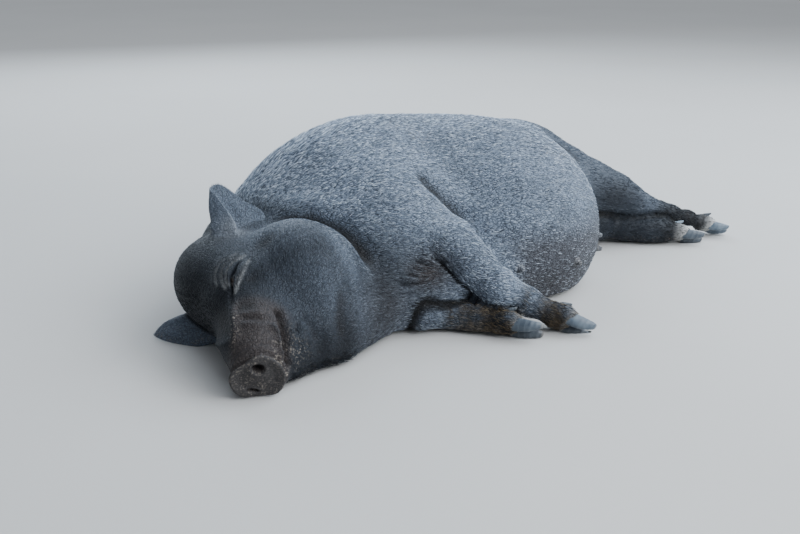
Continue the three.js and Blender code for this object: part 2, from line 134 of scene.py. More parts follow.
# Each ear's outline lies in the plane of along and across, and its fourth point is the tip.
EARS = {
    "ear_left": {
        "base": (-424, 8, 143),
        "along": (0.18, 0.655, 0.735),
        "across": (0.927, -0.363, 0.096),
        "outline": [
            (20, 54), (50, 32), (78, 11), (85, -2), (72, -20), (38, -44), (0, -66), (-22, -62), (-16, 28),
        ],
        "hollow": 5,
        "fold_at": (-17, -5),
        "fold_radius": 6,
        "fold_turn": 2.5,
    },
    "ear_right": {
        "base": (-470, -5, 30),
        "along": (-0.687, 0.675, -0.27),
        "across": (-0.38, -0.65, -0.656),
        "outline": [
            (16, 34), (52, 22), (78, 8), (84, -2), (66, -18), (30, -28), (-16, -28), (-18, 26),
        ],
        "hollow": 6,
        "fold_at": (-20, -12),
        "fold_radius": 10,
        "fold_turn": 1.2,
    },
}
TEATS = [(-54, -207, 71), (55, -223, 64), (146, -186, 61), (179, -157, 71), (205, -125, 84)]

EYE_RADIUS = 9.6
VOXEL = 6.0  # of the skin's first mesh
SWELL = 1.5  # of each solid of flesh, so that neighbours run together
LEG_GAP = 12.5  # that the solids of legs lying together are drawn back to
MOST_DRAWN = 4.5  # by which each of them is drawn back at most
MERGED = 1e-5  # metres within which a solid's loose corners are one
FLOOR_GAP = 0.6  # between the floor and the skin that rests on it
FLOOR_EDGE = 9  # how softly the skin turns up from the floor
LEAST_COAT = 0.8  # depth of the coat on the legs
LIMB_REACH = 70  # from a limb, within which its field is worked out


# ------------------------------------------------------------------ vectors


def unit(v):
    v = np.asarray(v, float)
    return v / np.maximum(np.linalg.norm(v, axis=-1, keepdims=True), 1e-12)


def row(points):
    """Drawing places in millimetres as row places in metres."""
    return (np.asarray(points, float) + DRAWING_AT) * MM


def drawing(points):
    """Row places in metres as drawing places in millimetres."""
    return np.asarray(points, float) / MM - DRAWING_AT


def smooth(low, high, value):
    t = np.clip((value - low) / (high - low), 0, 1)
    return t * t * (3 - 2 * t)


def bell(distance, width=1.0):
    """1 where the distance is nothing, falling softly to 0 over about twice the width."""
    return np.exp(-((distance / width) ** 2))


# ------------------------------------------------------------------ fields


def mass(at, half, yaw):
    """A turned ellipsoid."""
    cos, sin = math.cos(math.radians(yaw)), math.sin(math.radians(yaw))
    turn = np.array([[cos, sin, 0], [-sin, cos, 0], [0, 0, 1]])
    half = np.array(half, float)

    def field(p):
        q = (p - at) @ turn.T / half
        reach = np.linalg.norm(q, axis=1)
        slope = np.maximum(np.linalg.norm(q / half, axis=1), 1e-9)
        return reach * (reach - 1) / slope

    return field


def taper(a, b):
    """A cone with round ends between two balls."""
    a, b = np.array(a, float), np.array(b, float)
    u = b[:3] - a[:3]
    l2 = u @ u
    rr = a[3] - b[3]
    a2 = l2 - rr * rr

    def field(p):
        q = p - a[:3]
        along = q @ u
        past = along - l2
        x2 = ((q * l2 - along[:, None] * u) ** 2).sum(1)
        y2 = along**2 * l2
        z2 = past**2 * l2
        k = np.sign(rr) * rr * rr * x2
        side = (np.sqrt(x2 * a2 / l2) + along * rr) / l2 - a[3]
        side = np.where(np.sign(along) * a2 * y2 < k, np.sqrt(x2 + y2) / l2 - a[3], side)
        return np.where(np.sign(past) * a2 * z2 > k, np.sqrt(x2 + z2) / l2 - b[3], side)

    return field


def join(d, e, soft):
    """The nearer of two fields, run together where they are within soft of each other."""
    h = np.maximum(soft - np.abs(d - e), 0) / soft
    return np.minimum(d, e) - h * h * soft / 4


def blend(soft, *fields):
    def field(p):
        d = fields[0](p)
        for other in fields[1:]:
            d = join(d, other(p), soft)
        return d

    return field


def limb(soft, balls):
    """A chain of tapers, worked out only near it."""
    chain = blend(soft, *[taper(a, b) for a, b in zip(balls, balls[1:])])
    low = np.min([np.array(b[:3]) - b[3] for b in balls], 0) - LIMB_REACH
    high = np.max([np.array(b[:3]) + b[3] for b in balls], 0) + LIMB_REACH

    def field(p):
        d = np.full(len(p), float(LIMB_REACH))
        near = ((p > low) & (p < high)).all(1)
        if near.any():
            d[near] = chain(p[near])
        return d

    return field


def basis(facing, upward):
    """Columns X, Y, Z with Z along facing and X near to upward."""
    z = unit(facing)
    y = unit(np.cross(z, upward))
    return np.stack([np.cross(y, z), y, z], 1)


def disc(at, facing, upward, half, thick, edge):
    """A flat disc with a rounded rim, and at is the middle of its front face."""
    axes = basis(facing, upward)
    mean = sum(half) / 2

    def field(p):
        q = (p - np.array(at, float)) @ axes
        out = (np.hypot(q[:, 0] / half[0], q[:, 1] / half[1]) - 1) * mean + edge
        through = np.abs(q[:, 2] + thick / 2) - thick / 2 + edge
        outside = np.hypot(np.maximum(out, 0), np.maximum(through, 0))
        return np.minimum(np.maximum(out, through), 0) + outside - edge

    return field


def foot_frame(leg):
    """A foot's fetlock, forward, digits and front directions. Its roll brings the upper digit forward."""
    fetlock = np.array(leg["balls"][-1][:3], float)
    forward = unit(leg["toes"])
    level = unit(np.cross(forward, (0, 0, 1)))
    roll = math.radians(leg["roll"])
    digits = math.cos(roll) * np.cross(level, forward) + math.sin(roll) * level
    return fetlock, forward, digits, unit(np.cross(forward, digits))


def leg_field(leg):
    """A leg, with the two digits of its foot."""
    fetlock, forward, digits, _ = foot_frame(leg)
    size = leg["size"]
    parts = [limb(18, leg["balls"])]
    for side in (1, -1):
        root = fetlock + side * 5 * size * digits
        knuckle = fetlock + size * (13 * forward + side * DIGIT_SPREAD * digits)
        end = fetlock + size * (FOOT_LENGTH * forward + side * DIGIT_SPREAD * digits)
        parts.append(limb(6, [(*root, 15 * size), (*knuckle, 12.5 * size), (*end, 11.5 * size)]))
    return blend(9, *parts)


def leg_chain(leg):
    """A leg's balls, and one more at its claws."""
    fetlock, forward, _, _ = foot_frame(leg)
    return leg["balls"] + [(*(fetlock + 30 * forward), 13)]


trunk = blend(60, blend(70, *[mass(*m) for m in TRUNK_MASSES]), mass(*NECK_MASS))
head = blend(32, *[mass(*m) for m in HEAD_MASSES], limb(20, LOWER_JAW), limb(20, MUZZLE))
body = blend(34, trunk, head)
legs = {name: leg_field(leg) for name, leg in LEGS.items()}
snout = disc(SNOUT_AT, SNOUT_FACING, SNOUT_UPWARD, SNOUT_ROUND, SNOUT_THICK, SNOUT_EDGE)
tail = limb(6, TAIL)
limbs = blend(1.5, *legs.values(), tail)
flesh = blend(5, blend(16, body, limbs), snout)


def resting(p):
    """The flesh, flattened where it rests, with a rounded edge."""
    d, e = flesh(p), FLOOR_GAP - p[:, 2]
    h = np.maximum(FLOOR_EDGE - np.abs(d - e), 0) / FLOOR_EDGE
    return np.maximum(d, e) + h * h * FLOOR_EDGE / 4


def slope(field, p):
    """The field and its upward direction, from four samples round each point."""
    corners = np.array([(1, -1, -1), (-1, 1, -1), (-1, -1, 1), (1, 1, 1)], float)
    values = [field(p + 0.1 * c) for c in corners]
    rise = sum(v[:, None] * c for v, c in zip(values, corners))
    return sum(values) / 4, unit(rise)


def out_of(points):
    """The way straight out of the skin at each place."""
    return slope(resting, points)[1]


def settle(points, field, depth, rounds=2, longest=4):
    """Points moved to where they lie depth under the field's surface."""
    for _ in range(rounds):
        d, out = slope(field, points)
        points = points - np.clip(d + depth, -longest, longest)[:, None] * out
    return points


# ------------------------------------------------------------------ meshes


def co_of(mesh):
    co = np.empty(len(mesh.vertices) * 3, np.float32)
    mesh.vertices.foreach_get("co", co)
    return co.reshape(-1, 3).astype(float)


def set_co(mesh, co):
    mesh.vertices.foreach_set("co", np.asarray(co, np.float32).ravel())
    mesh.update()


def edges_of(mesh):
    edges = np.empty(len(mesh.edges) * 2, np.int32)
    mesh.edges.foreach_get("vertices", edges)
    return edges.reshape(-1, 2)


def relaxed(points, edges, share):
    """Each point moved some of the way to the middle of its neighbours."""
    total = np.zeros_like(points)
    count = np.bincount(edges.ravel(), minlength=len(points))[:, None]
    for axis in range(3):
        total[:, axis] = np.bincount(edges[:, 0], points[edges[:, 1], axis], len(points))
        total[:, axis] += np.bincount(edges[:, 1], points[edges[:, 0], axis], len(points))
    return points + share * (total / np.maximum(count, 1) - points)


def mesh_of(bm, name):
    mesh = bpy.data.meshes.new(name)
    bm.to_mesh(mesh)
    bm.free()
    return mesh


def ball_mesh(name, around, along, radius=1):
    bm = bmesh.new()
    bmesh.ops.create_uvsphere(bm, u_segments=around, v_segments=along, radius=radius)
    return mesh_of(bm, name)


def tree_of(points):
    """The points, sorted so that the nearest one is found quickly."""
    tree = kdtree.KDTree(len(points))
    for n, point in enumerate(points):
        tree.insert(point, n)
    tree.balance()
    return tree


def put(name, mesh, material=None):
    obj = bpy.data.objects.new(name, mesh)
    bpy.context.scene.collection.objects.link(obj)
    if material:
        mesh.materials.append(material)
    return obj


def modified(obj, kind, **settings):
    """Applies one modifier to an object's mesh."""
    modifier = obj.modifiers.new(kind, kind)
    for key, value in settings.items():
        setattr(modifier, key, value)
    shape = bpy.data.meshes.new_from_object(obj.evaluated_get(bpy.context.evaluated_depsgraph_get()))
    old = obj.data
    obj.modifiers.clear()
    obj.data = shape
    bpy.data.meshes.remove(old)


def swollen(node):
    """A solid of flesh pushed out by a hair, but drawn in where the leg beside it comes close."""
    bm = bmesh.new()
    bm.from_mesh(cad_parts[node].data)
    bmesh.ops.remove_doubles(bm, verts=bm.verts, dist=MERGED)
    bm.normal_update()
    moves = SWELL * np.array([v.normal for v in bm.verts])
    own = node.replace("foot", "leg")
    if own in legs:
        beside = own.replace("left", "right") if "left" in own else own.replace("right", "left")
        points = drawing([v.co for v in bm.verts])
        gap = legs[beside](points)
        _, out = slope(legs[own], points)
        moves -= (smooth(1, 3, gap) * np.clip((LEG_GAP - gap) / 2, 0, MOST_DRAWN))[:, None] * out
    for v, move in zip(bm.verts, moves * MM):
        v.co += Vector(move)
    return bm


def first_skin():
    """The solids of flesh but the ears, run together into one even mesh."""
    joined = bmesh.new()
    for node in FLESH:
        if not node.startswith("ear"):
            part = mesh_of(swollen(node), "part")
            joined.from_mesh(part)
            bpy.data.meshes.remove(part)
    skin = put("skin", mesh_of(joined, "skin"))
    modified(skin, "REMESH", mode="VOXEL", voxel_size=VOXEL * MM)
    bm = bmesh.new()
    bm.from_mesh(skin.data)
    for shell in sorted(shells_of(bm), key=len)[:-1]:
        bmesh.ops.delete(bm, geom=shell, context="VERTS")
    bm.to_mesh(skin.data)
    bm.free()
    return skin


def shells_of(bm):
    """The vertices of each separate shell."""
    left = set(bm.verts)
    while left:
        shell = []
        front = [left.pop()]
        while front:
            v = front.pop()
            shell.append(v)
            for e in v.link_edges:
                other = e.other_vert(v)
                if other in left:
                    left.remove(other)
                    front.append(other)
        yield shell


def finer(skin, region):
    """Splits in four the quads whose middle lies in the region."""
    bm = bmesh.new()
    bm.from_mesh(skin.data)
    centres = drawing([f.calc_center_median() for f in bm.faces])
    chosen = region(centres)
    edges = {e for f, wanted in zip(bm.faces, chosen) if wanted for e in f.edges}
    bmesh.ops.subdivide_edges(bm, edges=list(edges), cuts=1, use_grid_fill=True)
    bm.to_mesh(skin.data)
    bm.free()


def coat_depth(p):
    """How far the skin lies under the tips of the coat."""
    depth = 3.0 - 1.2 * smooth(-330, -380, p[:, 0])
    depth = depth - 1.4 * smooth(20, 0, limbs(p)) * (depth - LEAST_COAT)
    return np.maximum(depth, LEAST_COAT)


def rest_skin(skin, rounds):
    """Evens out the skin by each share in turn, and lays it back under the coat each time."""
    points = drawing(co_of(skin.data))
    edges = edges_of(skin.data)
    for share in rounds:
        if share:
            points = relaxed(points, edges, share)
        points = settle(points, resting, coat_depth(points))
    set_co(skin.data, row(points))


# ------------------------------------------------------------------ sculpting


def near_path(p, path):
    """For each point, its distance from a path and how far along it that is, from 0 to 1."""
    path = np.array(path, float)
    spans = np.linalg.norm(np.diff(path, axis=0), axis=1)
    starts = np.concatenate([[0], np.cumsum(spans)])
    best = np.full(len(p), 1e9)
    along = np.zeros(len(p))
    for a, b, span, start in zip(path, path[1:], spans, starts):
        t = np.clip((p - a) @ (b - a) / span**2, 0, 1)
        d = np.linalg.norm(p - a - t[:, None] * (b - a), axis=1)
        closer = d < best
        best[closer] = d[closer]
        along[closer] = (start + t * span)[closer] / starts[-1]
    return best, along


def on_skin(path):
    """The path's points, moved onto the skin."""
    path = np.array(path, float)
    return settle(path, resting, 2.0, 4, 12)


def round_place(p, at, reach):
    """1 in the middle of a place, falling to 0 round it."""
    return bell(np.linalg.norm((p - np.array(at, float)) / np.array(reach, float), axis=1))


def crease(path, depth, width, lip=0.3, ends=0.2):
    """A groove pressed into the skin along a path, with a low lip on each side."""
    path = on_skin(path)

    def brush(p, out):
        d, t = near_path(p, path)
        fade = smooth(0, ends, t) * smooth(1, 1 - ends, t)
        lips = lip * bell(d - 2.1 * width, width)
        return (depth * fade * (lips - bell(d, width)))[:, None] * out

    return brush


def ridge(path, height, width, ends=0.2):
    return crease(path, -height, width, lip=0, ends=ends)


def slot(path, depth, width):
    """A lens-shaped opening along a path, between two rolled edges."""
    path = on_skin(path)

    def brush(p, out):
        d, t = near_path(p, path)
        half = width * np.sin(math.pi * np.clip(t, 0.02, 0.98)) ** 0.6
        inner = smooth(0, 0.12, t) * smooth(1, 0.88, t)
        rolled = 1.5 * inner * bell(d - half - 1.5, 1.5)
        return (rolled - depth * smooth(half + 0.3, half - 1.2, d))[:, None] * out

    return brush


def overlap(path, height, reach, over, ends=0.2):
    """Skin that stands up on one side of a path, like the edge of a fold that hangs over its neighbour."""
    path = on_skin(path)
    side_of = unit(over)

    def brush(p, out):
        d, t = near_path(p, path)
        at = np.clip(t * (len(path) - 1), 0, len(path) - 1.001).astype(int)
        side = (p - path[at]) @ side_of
        fade = smooth(0, ends, t) * smooth(1, 1 - ends, t)
        raised = smooth(-2, 3, side) * bell(d, reach)
        return (height * fade * raised)[:, None] * out

    return brush


def meeting(first, second, depth, width, where=lambda p: 1.0):
    """A crease pressed in where two parts of the body lie against each other."""

    def brush(p, out):
        a, b = first(p), second(p)
        close = bell(a - b, width) * smooth(3.5 * width, width, np.maximum(a, b))
        return (-depth * close * where(p))[:, None] * out

    return brush


def swell(at, reach, height):
    """A soft bump, or a hollow where the height is negative."""

    def brush(p, out):
        return (height * round_place(p, at, reach))[:, None] * out

    return brush


EYE_SLIT = [
    (-470, -95, 142), (-479, -98, 138), (-487, -103, 133),
    (-495, -109, 127), (-501, -117, 120), (-505, -124, 114),
]
UPPER_LID = [(-466, -89, 143), (-478, -86, 139), (-489, -90, 132), (-498, -100, 124), (-503, -112, 118)]
LOWER_LID = [(-466, -104, 144), (-476, -111, 138), (-486, -117, 131), (-496, -124, 124), (-504, -129, 114)]
BROWS = [
    [
        (-461, -87, 146), (-474, -77, 142), (-486, -77, 135),
        (-497, -85, 127), (-503, -97, 121), (-507, -110, 115),
    ],
    [(-466, -72, 145), (-481, -65, 138), (-495, -68, 129), (-504, -80, 120), (-508, -93, 114)],
]
TEAR_LINE = [(-503, -119, 116), (-508, -126, 110), (-514, -134, 105), (-519, -143, 100)]
BRIDGE_EDGE = [
    (-508, -124, 112), (-518, -141, 102), (-528, -160, 92),
    (-534, -174, 81), (-539, -182, 72), (-545, -189, 62),
]
MUZZLE_FOLD = [(-530, -166, 92), (-521, -172, 96), (-511, -180, 96), (-500, -187, 93), (-490, -191, 90)]
LIP_EDGE = [
    (-500, -195, 90), (-491, -200, 85), (-488, -206, 77),
    (-489, -212, 68), (-493, -220, 57), (-498, -226, 48),
]
MOUTH = [
    (-470, -178, 103), (-471, -186, 96), (-474, -194, 88), (-477, -201, 81),
    (-480, -209, 71), (-483, -216, 59), (-486, -222, 44), (-484, -224, 30),
]
CHIN_FOLD = [(-449, -184, 92), (-450, -191, 82), (-455, -199, 71), (-461, -207, 60), (-466, -212, 46)]
CHEEK_FOLD = [(-447, -184, 92), (-440, -192, 81), (-434, -197, 69), (-434, -202, 56), (-440, -206, 42)]
JOWL_FOLD = [
    (-368, -186, 124), (-380, -196, 100), (-388, -202, 80),
    (-392, -207, 63), (-392, -210, 44), (-388, -210, 22),
]
JOWL_FRONT = [(-430, -199, 70), (-426, -206, 51), (-428, -206, 36), (-434, -204, 20)]
NECK_GROOVE = [
    (-392, 2, 152), (-372, -11, 158), (-350, -20, 165), (-322, -40, 166),
    (-303, -77, 158), (-294, -110, 140), (-292, -138, 112), (-300, -160, 86),
]
HIP_GROOVE = [(262, 96, 226), (264, 67, 214), (268, 24, 192), (268, -23, 167), (262, -60, 140)]
SHOULDER_GROOVE = [
    (-150, -60, 225), (-146, -99, 200), (-128, -118, 176),
    (-112, -128, 152), (-105, -150, 125), (-95, -165, 100),
]
ARMPIT_LINES = [
    [(-190, -182, 88), (-201, -180, 81), (-220, -178, 79), (-248, -173, 79), (-273, -168, 88)],
    [(-192, -180, 91), (-206, -177, 87), (-228, -172, 88), (-250, -166, 94)],
    [(-190, -179, 94), (-206, -173, 93), (-222, -169, 95), (-238, -164, 100)],
    [(-188, -179, 96), (-202, -170, 99), (-216, -163, 105), (-228, -158, 111)],
    [(-186, -177, 99), (-197, -168, 106), (-207, -160, 113), (-217, -153, 120)],
]
MIDLINE = {"at": (-496.5, -104, 79), "normal": (0.115, -0.167, 0.979)}  # between the sides of the face


def right_side(path):
    """The same path on the face's right side."""
    normal = unit(MIDLINE["normal"])
    q = np.array(path, float) - MIDLINE["at"]
    return np.array(path, float) - 2 * (q @ normal)[:, None] * normal


def eye_folds(of):
    """The lids, brows and tear line of one eye; of moves a path to that side."""
    return [
        swell(of([(-488, -104, 134)])[0], (18, 18, 16), 3.0),
        swell(of([(-477, -128, 128)])[0], (13, 13, 14), -4.0),
        slot(of(EYE_SLIT), 7.5, 3.6),
        crease(of(UPPER_LID), 2.0, 1.9, lip=0.7),
        ridge(of(LOWER_LID), 1.8, 2.4),
        *[crease(of(path), 2.3 - 0.5 * n, 2.6, lip=0.8) for n, path in enumerate(BROWS)],
        crease(of(TEAR_LINE), 3.0, 3.0, lip=0.2),
        ridge(of(BRIDGE_EDGE), 4.5, 6.5, ends=0.3),
    ]


SCULPTING = [
    *eye_folds(lambda path: np.array(path, float)),
    *eye_folds(right_side),
    swell((-428, -4, 152), (30, 28, 26), 12.0),  # root of the left ear
    swell((-440, -92, 162), (26, 20, 18), -5.0),  # hollow between ear and cheek
    swell((-528, -140, 78), (26, 30, 26), -5.0),  # dish of the face
    swell((-503, -158, 103), (16, 16, 14), -4.0),  # behind the muzzle
    crease(MUZZLE_FOLD, 3.0, 4.6, lip=0.5, ends=0.35),
    ridge(LIP_EDGE, 3.6, 3.2),
    crease(MOUTH, 9.5, 5.0, lip=0.1, ends=0.1),
    swell((-464, -204, 76), (11, 13, 18), 5.0),  # lower lip
    crease(CHIN_FOLD, 2.2, 3.6, lip=0.4),
    crease(CHEEK_FOLD, 1.8, 4.6, lip=0.4),
    swell((-470, -181, 99), (7, 7, 7), -6.0),  # pit at the corner of the mouth
    swell((-455, -200, 70), (6, 6, 6), -5.0),
    crease(JOWL_FOLD, 4.5, 11.0, lip=0.2, ends=0.35),
    crease(JOWL_FRONT, 2.6, 8.0, lip=0.4, ends=0.3),
    crease(NECK_GROOVE, 8.0, 15.0, lip=0.25, ends=0.25),
    crease(HIP_GROOVE, 6.0, 14.0, lip=0.3, ends=0.3),
    overlap(HIP_GROOVE, 4.0, 40, (-1, -0.2, 0.3), ends=0.3),
    crease(SHOULDER_GROOVE, 7.0, 13.0, lip=0.3, ends=0.25),
    *[crease(path, 6.4 - 0.7 * n, 3.8 - 0.3 * n, lip=0.5, ends=0.3) for n, path in enumerate(ARMPIT_LINES)],
    meeting(legs["foreleg_left"], body, 6.0, 5.0, lambda p: smooth(-150, -172, p[:, 1])),
    meeting(legs["foreleg_right"], body, 5.0, 5.0, lambda p: smooth(-140, -165, p[:, 1])),
    meeting(legs["foreleg_left"], legs["foreleg_right"], 5.0, 5.0),
    meeting(legs["hindleg_left"], legs["hindleg_right"], 5.0, 6.0),
    meeting(legs["hindleg_left"], body, 6.0, 8.0, lambda p: smooth(-40, -70, p[:, 1])),
]


def sculpted(p, out):
    """How far all the brushes together move each place."""
    moved = np.zeros_like(p)
    for brush in SCULPTING:
        moved = moved + brush(p, out)
    return moved


def snout_frame(p):
    """The snout's axes, each place along them, and how far out it is: 1 at the disc's rim."""
    axes = basis(SNOUT_FACING, SNOUT_UPWARD)
    q = (p - np.array(SNOUT_AT, float)) @ axes
    return axes, q, np.hypot(q[:, 0] / SNOUT_ROUND[0], q[:, 1] / SNOUT_ROUND[1])


def snout_relief(p):
    """The snout disc: its rolled rim, the dish between, two nostrils, and the rolls of skin behind it."""
    axes, q, out = snout_frame(p)
    front = smooth(-9, -2, q[:, 2])
    inwards = -3.6 * front * smooth(0.88, 0.62, out)
    for side in (-1, 1):
        pressed = 1.0 if side < 0 else 0.42  # the lower nostril is squeezed shut against the floor
        across = side * (NOSTRIL_AT[1] + 4.0 * (side > 0))
        hole = np.hypot((q[:, 0] - NOSTRIL_AT[0]) / 8.2, (q[:, 1] - across) / (6.2 * pressed))
        inwards += front * (1.3 * bell(hole - 1.4, 0.35) - 14.0 * pressed * smooth(1.15, 0.5, hole))
    radial = q[:, :2] / np.maximum(np.linalg.norm(q[:, :2], axis=1, keepdims=True), 1e-9)
    around = smooth(0.7, 0.85, out) * smooth(1.7, 1.4, out) * smooth(-34, -26, q[:, 2])
    wavy = q[:, 2] + 1.6 * np.sin(2.3 * np.arctan2(q[:, 1], q[:, 0]) + 0.6)
    rolls = 2.8 * bell(q[:, 2] + 2.5, 3.4) - 3.2 * bell(wavy + 9.5, 2.4)
    rolls += 1.5 * bell(wavy + 15, 3.4) - 1.5 * bell(wavy + 21.5, 2.0) * smooth(0, -20, q[:, 1])
    corner = 6.0 * smooth(0, 26, q[:, 0]) * smooth(2, -20, q[:, 1])
    corner = corner * smooth(-20, -6, q[:, 2]) * smooth(0.5, 0.9, out)
    move = (around * rolls - corner)[:, None] * (radial @ axes[:, :2].T)
    return inwards[:, None] * axes[:, 2] + move


# ------------------------------------------------------------------ ears


def rounded(outline, samples=24):
    """A closed smooth curve through an outline's points, evenly spaced by length: turn (0 to 1) -> point."""
    points = np.array(outline, float)
    curve = []
    for k in range(len(points)):
        a, b, c, d = (points[(k + n) % len(points)] for n in (-1, 0, 1, 2))
        for t in np.arange(samples) / samples:
            point = 2 * b + (c - a) * t
            point = point + (2 * a - 5 * b + 4 * c - d) * t**2
            point = point + (3 * b - a - 3 * c + d) * t**3
            curve.append(0.5 * point)
    curve = np.array(curve + curve[:1])
    lengths = np.concatenate([[0], np.cumsum(np.linalg.norm(np.diff(curve, axis=0), axis=1))])
    return lambda turn: np.stack([np.interp(turn * lengths[-1], lengths, curve[:, n]) for n in (0, 1)], 1)


def ear_shell(shape):
    """A hollowed leaf of gristle and skin whose front edge folds over."""
    mesh = ball_mesh("ear", 96, 36)
    x, y, z = co_of(mesh).T
    reach = np.hypot(x, y)
    rim = rounded(shape["outline"])
    middle = np.mean(shape["outline"], 0)
    spread = np.sin(np.arcsin(np.clip(reach, 0, 1)) * 0.999)
    a, b = (middle + spread[:, None] * (rim((np.arctan2(y, x) / (2 * math.pi)) % 1) - middle)).T
    thick = 1.9 + 1.3 * smooth(1, 0.55, reach) + 4.5 * smooth(34, -14, a)
    ridges = 0.9 * np.sin((b + 0.25 * a) / 4.2) * smooth(0, 30, a) * smooth(0.9, 0.5, reach)
    lift = thick * np.sign(z) * np.abs(z) ** 0.55 + ridges
    tip = shape["outline"][3][0]
    at = shape["fold_at"][0] + (shape["fold_at"][1] - shape["fold_at"][0]) * a / tip
    flat = np.maximum(b, at)
    angle = np.minimum((flat - b) / shape["fold_radius"], shape["fold_turn"])
    flap = flat - b - angle * shape["fold_radius"]
    radius = shape["fold_radius"] - lift
    sideways = flat - radius * np.sin(angle) - flap * np.cos(angle)
    cupped = shape["hollow"] * (flat / 50) ** 2
    lifted = cupped + shape["fold_radius"] - radius * np.cos(angle) + flap * np.sin(angle)
    t = unit(shape["along"])
    n = unit(np.cross(shape["across"], t))
    s = np.cross(t, n)
    points = np.array(shape["base"], float) + a[:, None] * t + sideways[:, None] * s + lifted[:, None] * n
    set_co(mesh, row(points))
    return mesh


def make_skin():
    skin = first_skin()
    rest_skin(skin, (0, 0.5, 0.5, 0.5))
    finer(skin, lambda c: (before_neck(c) > 0) | foot_region(c) | in_places(c, "armpit") | teat_region(c, 22))
    rest_skin(skin, (0.5, 0.5))
    finer(skin, lambda c: in_places(c, "muzzle", "mouth", "eye", "armpit lines") | teat_region(c, 13))
    rest_skin(skin, (0.5, 0.5))
    finer(skin, lambda c: in_places(c, "lids"))
    rest_skin(skin, (0.5,))
    points = drawing(co_of(skin.data))
    edges = edges_of(skin.data)
    points = points + sculpted(points, out_of(points))
    points = points + snout_relief(points)
    for at in TEATS:
        points = points + teat(points, at)
    points = relaxed(points, edges, 0.15)
    points[:, 2] = np.maximum(points[:, 2], FLOOR_GAP)
    set_co(skin.data, row(points))
    for shape in EARS.values():
        add_ear(skin, ear_shell(shape))
    points = drawing(co_of(skin.data))
    out = out_of(points)
    # How far the brushes pressed the skin in: the hide paints these creases dark as shade.
    pressed = -(sculpted(points, out) * out).sum(1)
    return skin, smooth(0.8, 6, pressed)


FINE_PLACES = {  # middle and reach of the places that get a finer mesh
    "armpit": ((-185, -188, 72), (85, 62, 52)),
    "muzzle": ((-512, -205, 45), (62, 50, 60)),
    "mouth": ((-470, -192, 80), (46, 34, 40)),
    "eye": ((-490, -104, 130), (34, 38, 30)),
    "armpit lines": ((-215, -170, 92), (48, 30, 30)),
    "lids": ((-490, -108, 128), (26, 26, 26)),
}


def in_places(c, *names):
    inside = np.zeros(len(c), bool)
    for at, reach in (FINE_PLACES[name] for name in names):
        inside |= np.linalg.norm((c - at) / reach, axis=1) < 1
    return inside


def before_neck(p):
    """How far ahead of the middle of the neck each place lies."""
    ahead = unit((-0.9, -0.4, 0))
    return p @ ahead - np.array((-352, 20, 0)) @ ahead


def foot_region(c):
    near = np.zeros(len(c), bool)
    for leg in LEGS.values():
        fetlock, forward, _, _ = foot_frame(leg)
        near |= np.linalg.norm(c - fetlock - 10 * forward, axis=1) < 48
    return near


def teat_region(c, reach):
    near = np.zeros(len(c), bool)
    for at in TEATS:
        near |= np.linalg.norm(c - at, axis=1) < reach
    return near


def teat(p, at):
    """A short blunt cone on the belly."""
    root = settle(np.array([at], float), body, 3.0, 6)[0]
    _, out = slope(body, root[None])
    q = p - root
    far = np.linalg.norm(q - (q @ out[0])[:, None] * out[0], axis=1)
    near = np.abs(q @ out[0]) < 12
    height = 8.5 * smooth(6.4, 2.4, far) + 1.2 * bell(far, 11)
    return (near * height)[:, None] * out[0]


ROUND_EAR = 0.02  # metres round an ear in which its seam is looked for
SAME_PLACE = 2e-4  # metres within which a vertex is one of the ear's own


def add_ear(skin, mesh):
    """Joins an ear to the skin as one closed surface, and rounds the crease where they meet."""
    ear = put("ear", mesh)
    ear_tree = tree_of(co_of(mesh))
    modified(skin, "BOOLEAN", operation="UNION", object=ear, solver="EXACT")
    bpy.data.objects.remove(ear)
    points = co_of(skin.data)
    edges = edges_of(skin.data)
    low, high = co_of(mesh).min(0) - ROUND_EAR, co_of(mesh).max(0) + ROUND_EAR
    near = np.flatnonzero(((points > low) & (points < high)).all(1))
    on_ear = np.zeros(len(points), bool)
    for n in near:
        on_ear[n] = ear_tree.find(points[n])[2] < SAME_PLACE
    on_ear &= resting(drawing(points)) > -2
    seam = np.flatnonzero(on_ear[edges[:, 0]] != on_ear[edges[:, 1]])
    seam_tree = tree_of(points[edges[seam].ravel()])
    share = np.zeros(len(points))
    for n in near:
        share[n] = smooth(0.009, 0.002, seam_tree.find(points[n])[2])
    for _ in range(14):
        points = relaxed(points, edges, 0.6 * share[:, None])
    set_co(skin.data, points)


# ------------------------------------------------------------------ markings


def near_chain(p, balls):
    """Distance from a chain of balls' surface, share of the way along it, and its direction there."""
    centres = np.array([b[:3] for b in balls], float)
    _, t = near_path(p, centres)
    at = np.clip(t * (len(centres) - 1), 0, len(centres) - 1.001)
    piece = at.astype(int)
    direction = unit(centres[piece + 1] - centres[piece])
    middle = centres[piece] + (at - piece)[:, None] * (centres[piece + 1] - centres[piece])
    radii = np.array([b[3] for b in balls], float)
    radius = np.interp(t, np.linspace(0, 1, len(balls)), radii)
    return np.linalg.norm(p - middle, axis=1) - radius, t, direction


LIDS = [UPPER_LID, LOWER_LID, *BROWS, right_side(UPPER_LID), right_side(LOWER_LID)]
LID_LINES = [on_skin(path) for path in LIDS]
SANDY_EDGE = [on_skin(BRIDGE_EDGE[2:])]
SANDY_LIP = [on_skin([(-500, -222, 62), (-492, -226, 44), (-487, -226, 24)])]
SANDY_BACK = [
    on_skin([(-96, 40, 265), (-92, -14, 250)]),
    on_skin([(57, -122, 224), (143, -130, 209)]),
]
MUZZLE_CHAIN = MUZZLE[1:] + [(*SNOUT_AT, 30)]


def near_paths(p, paths, width):
    share = np.zeros(len(p))
    for path in paths:
        share = np.maximum(share, bell(near_path(p, path)[0], width))
    return share


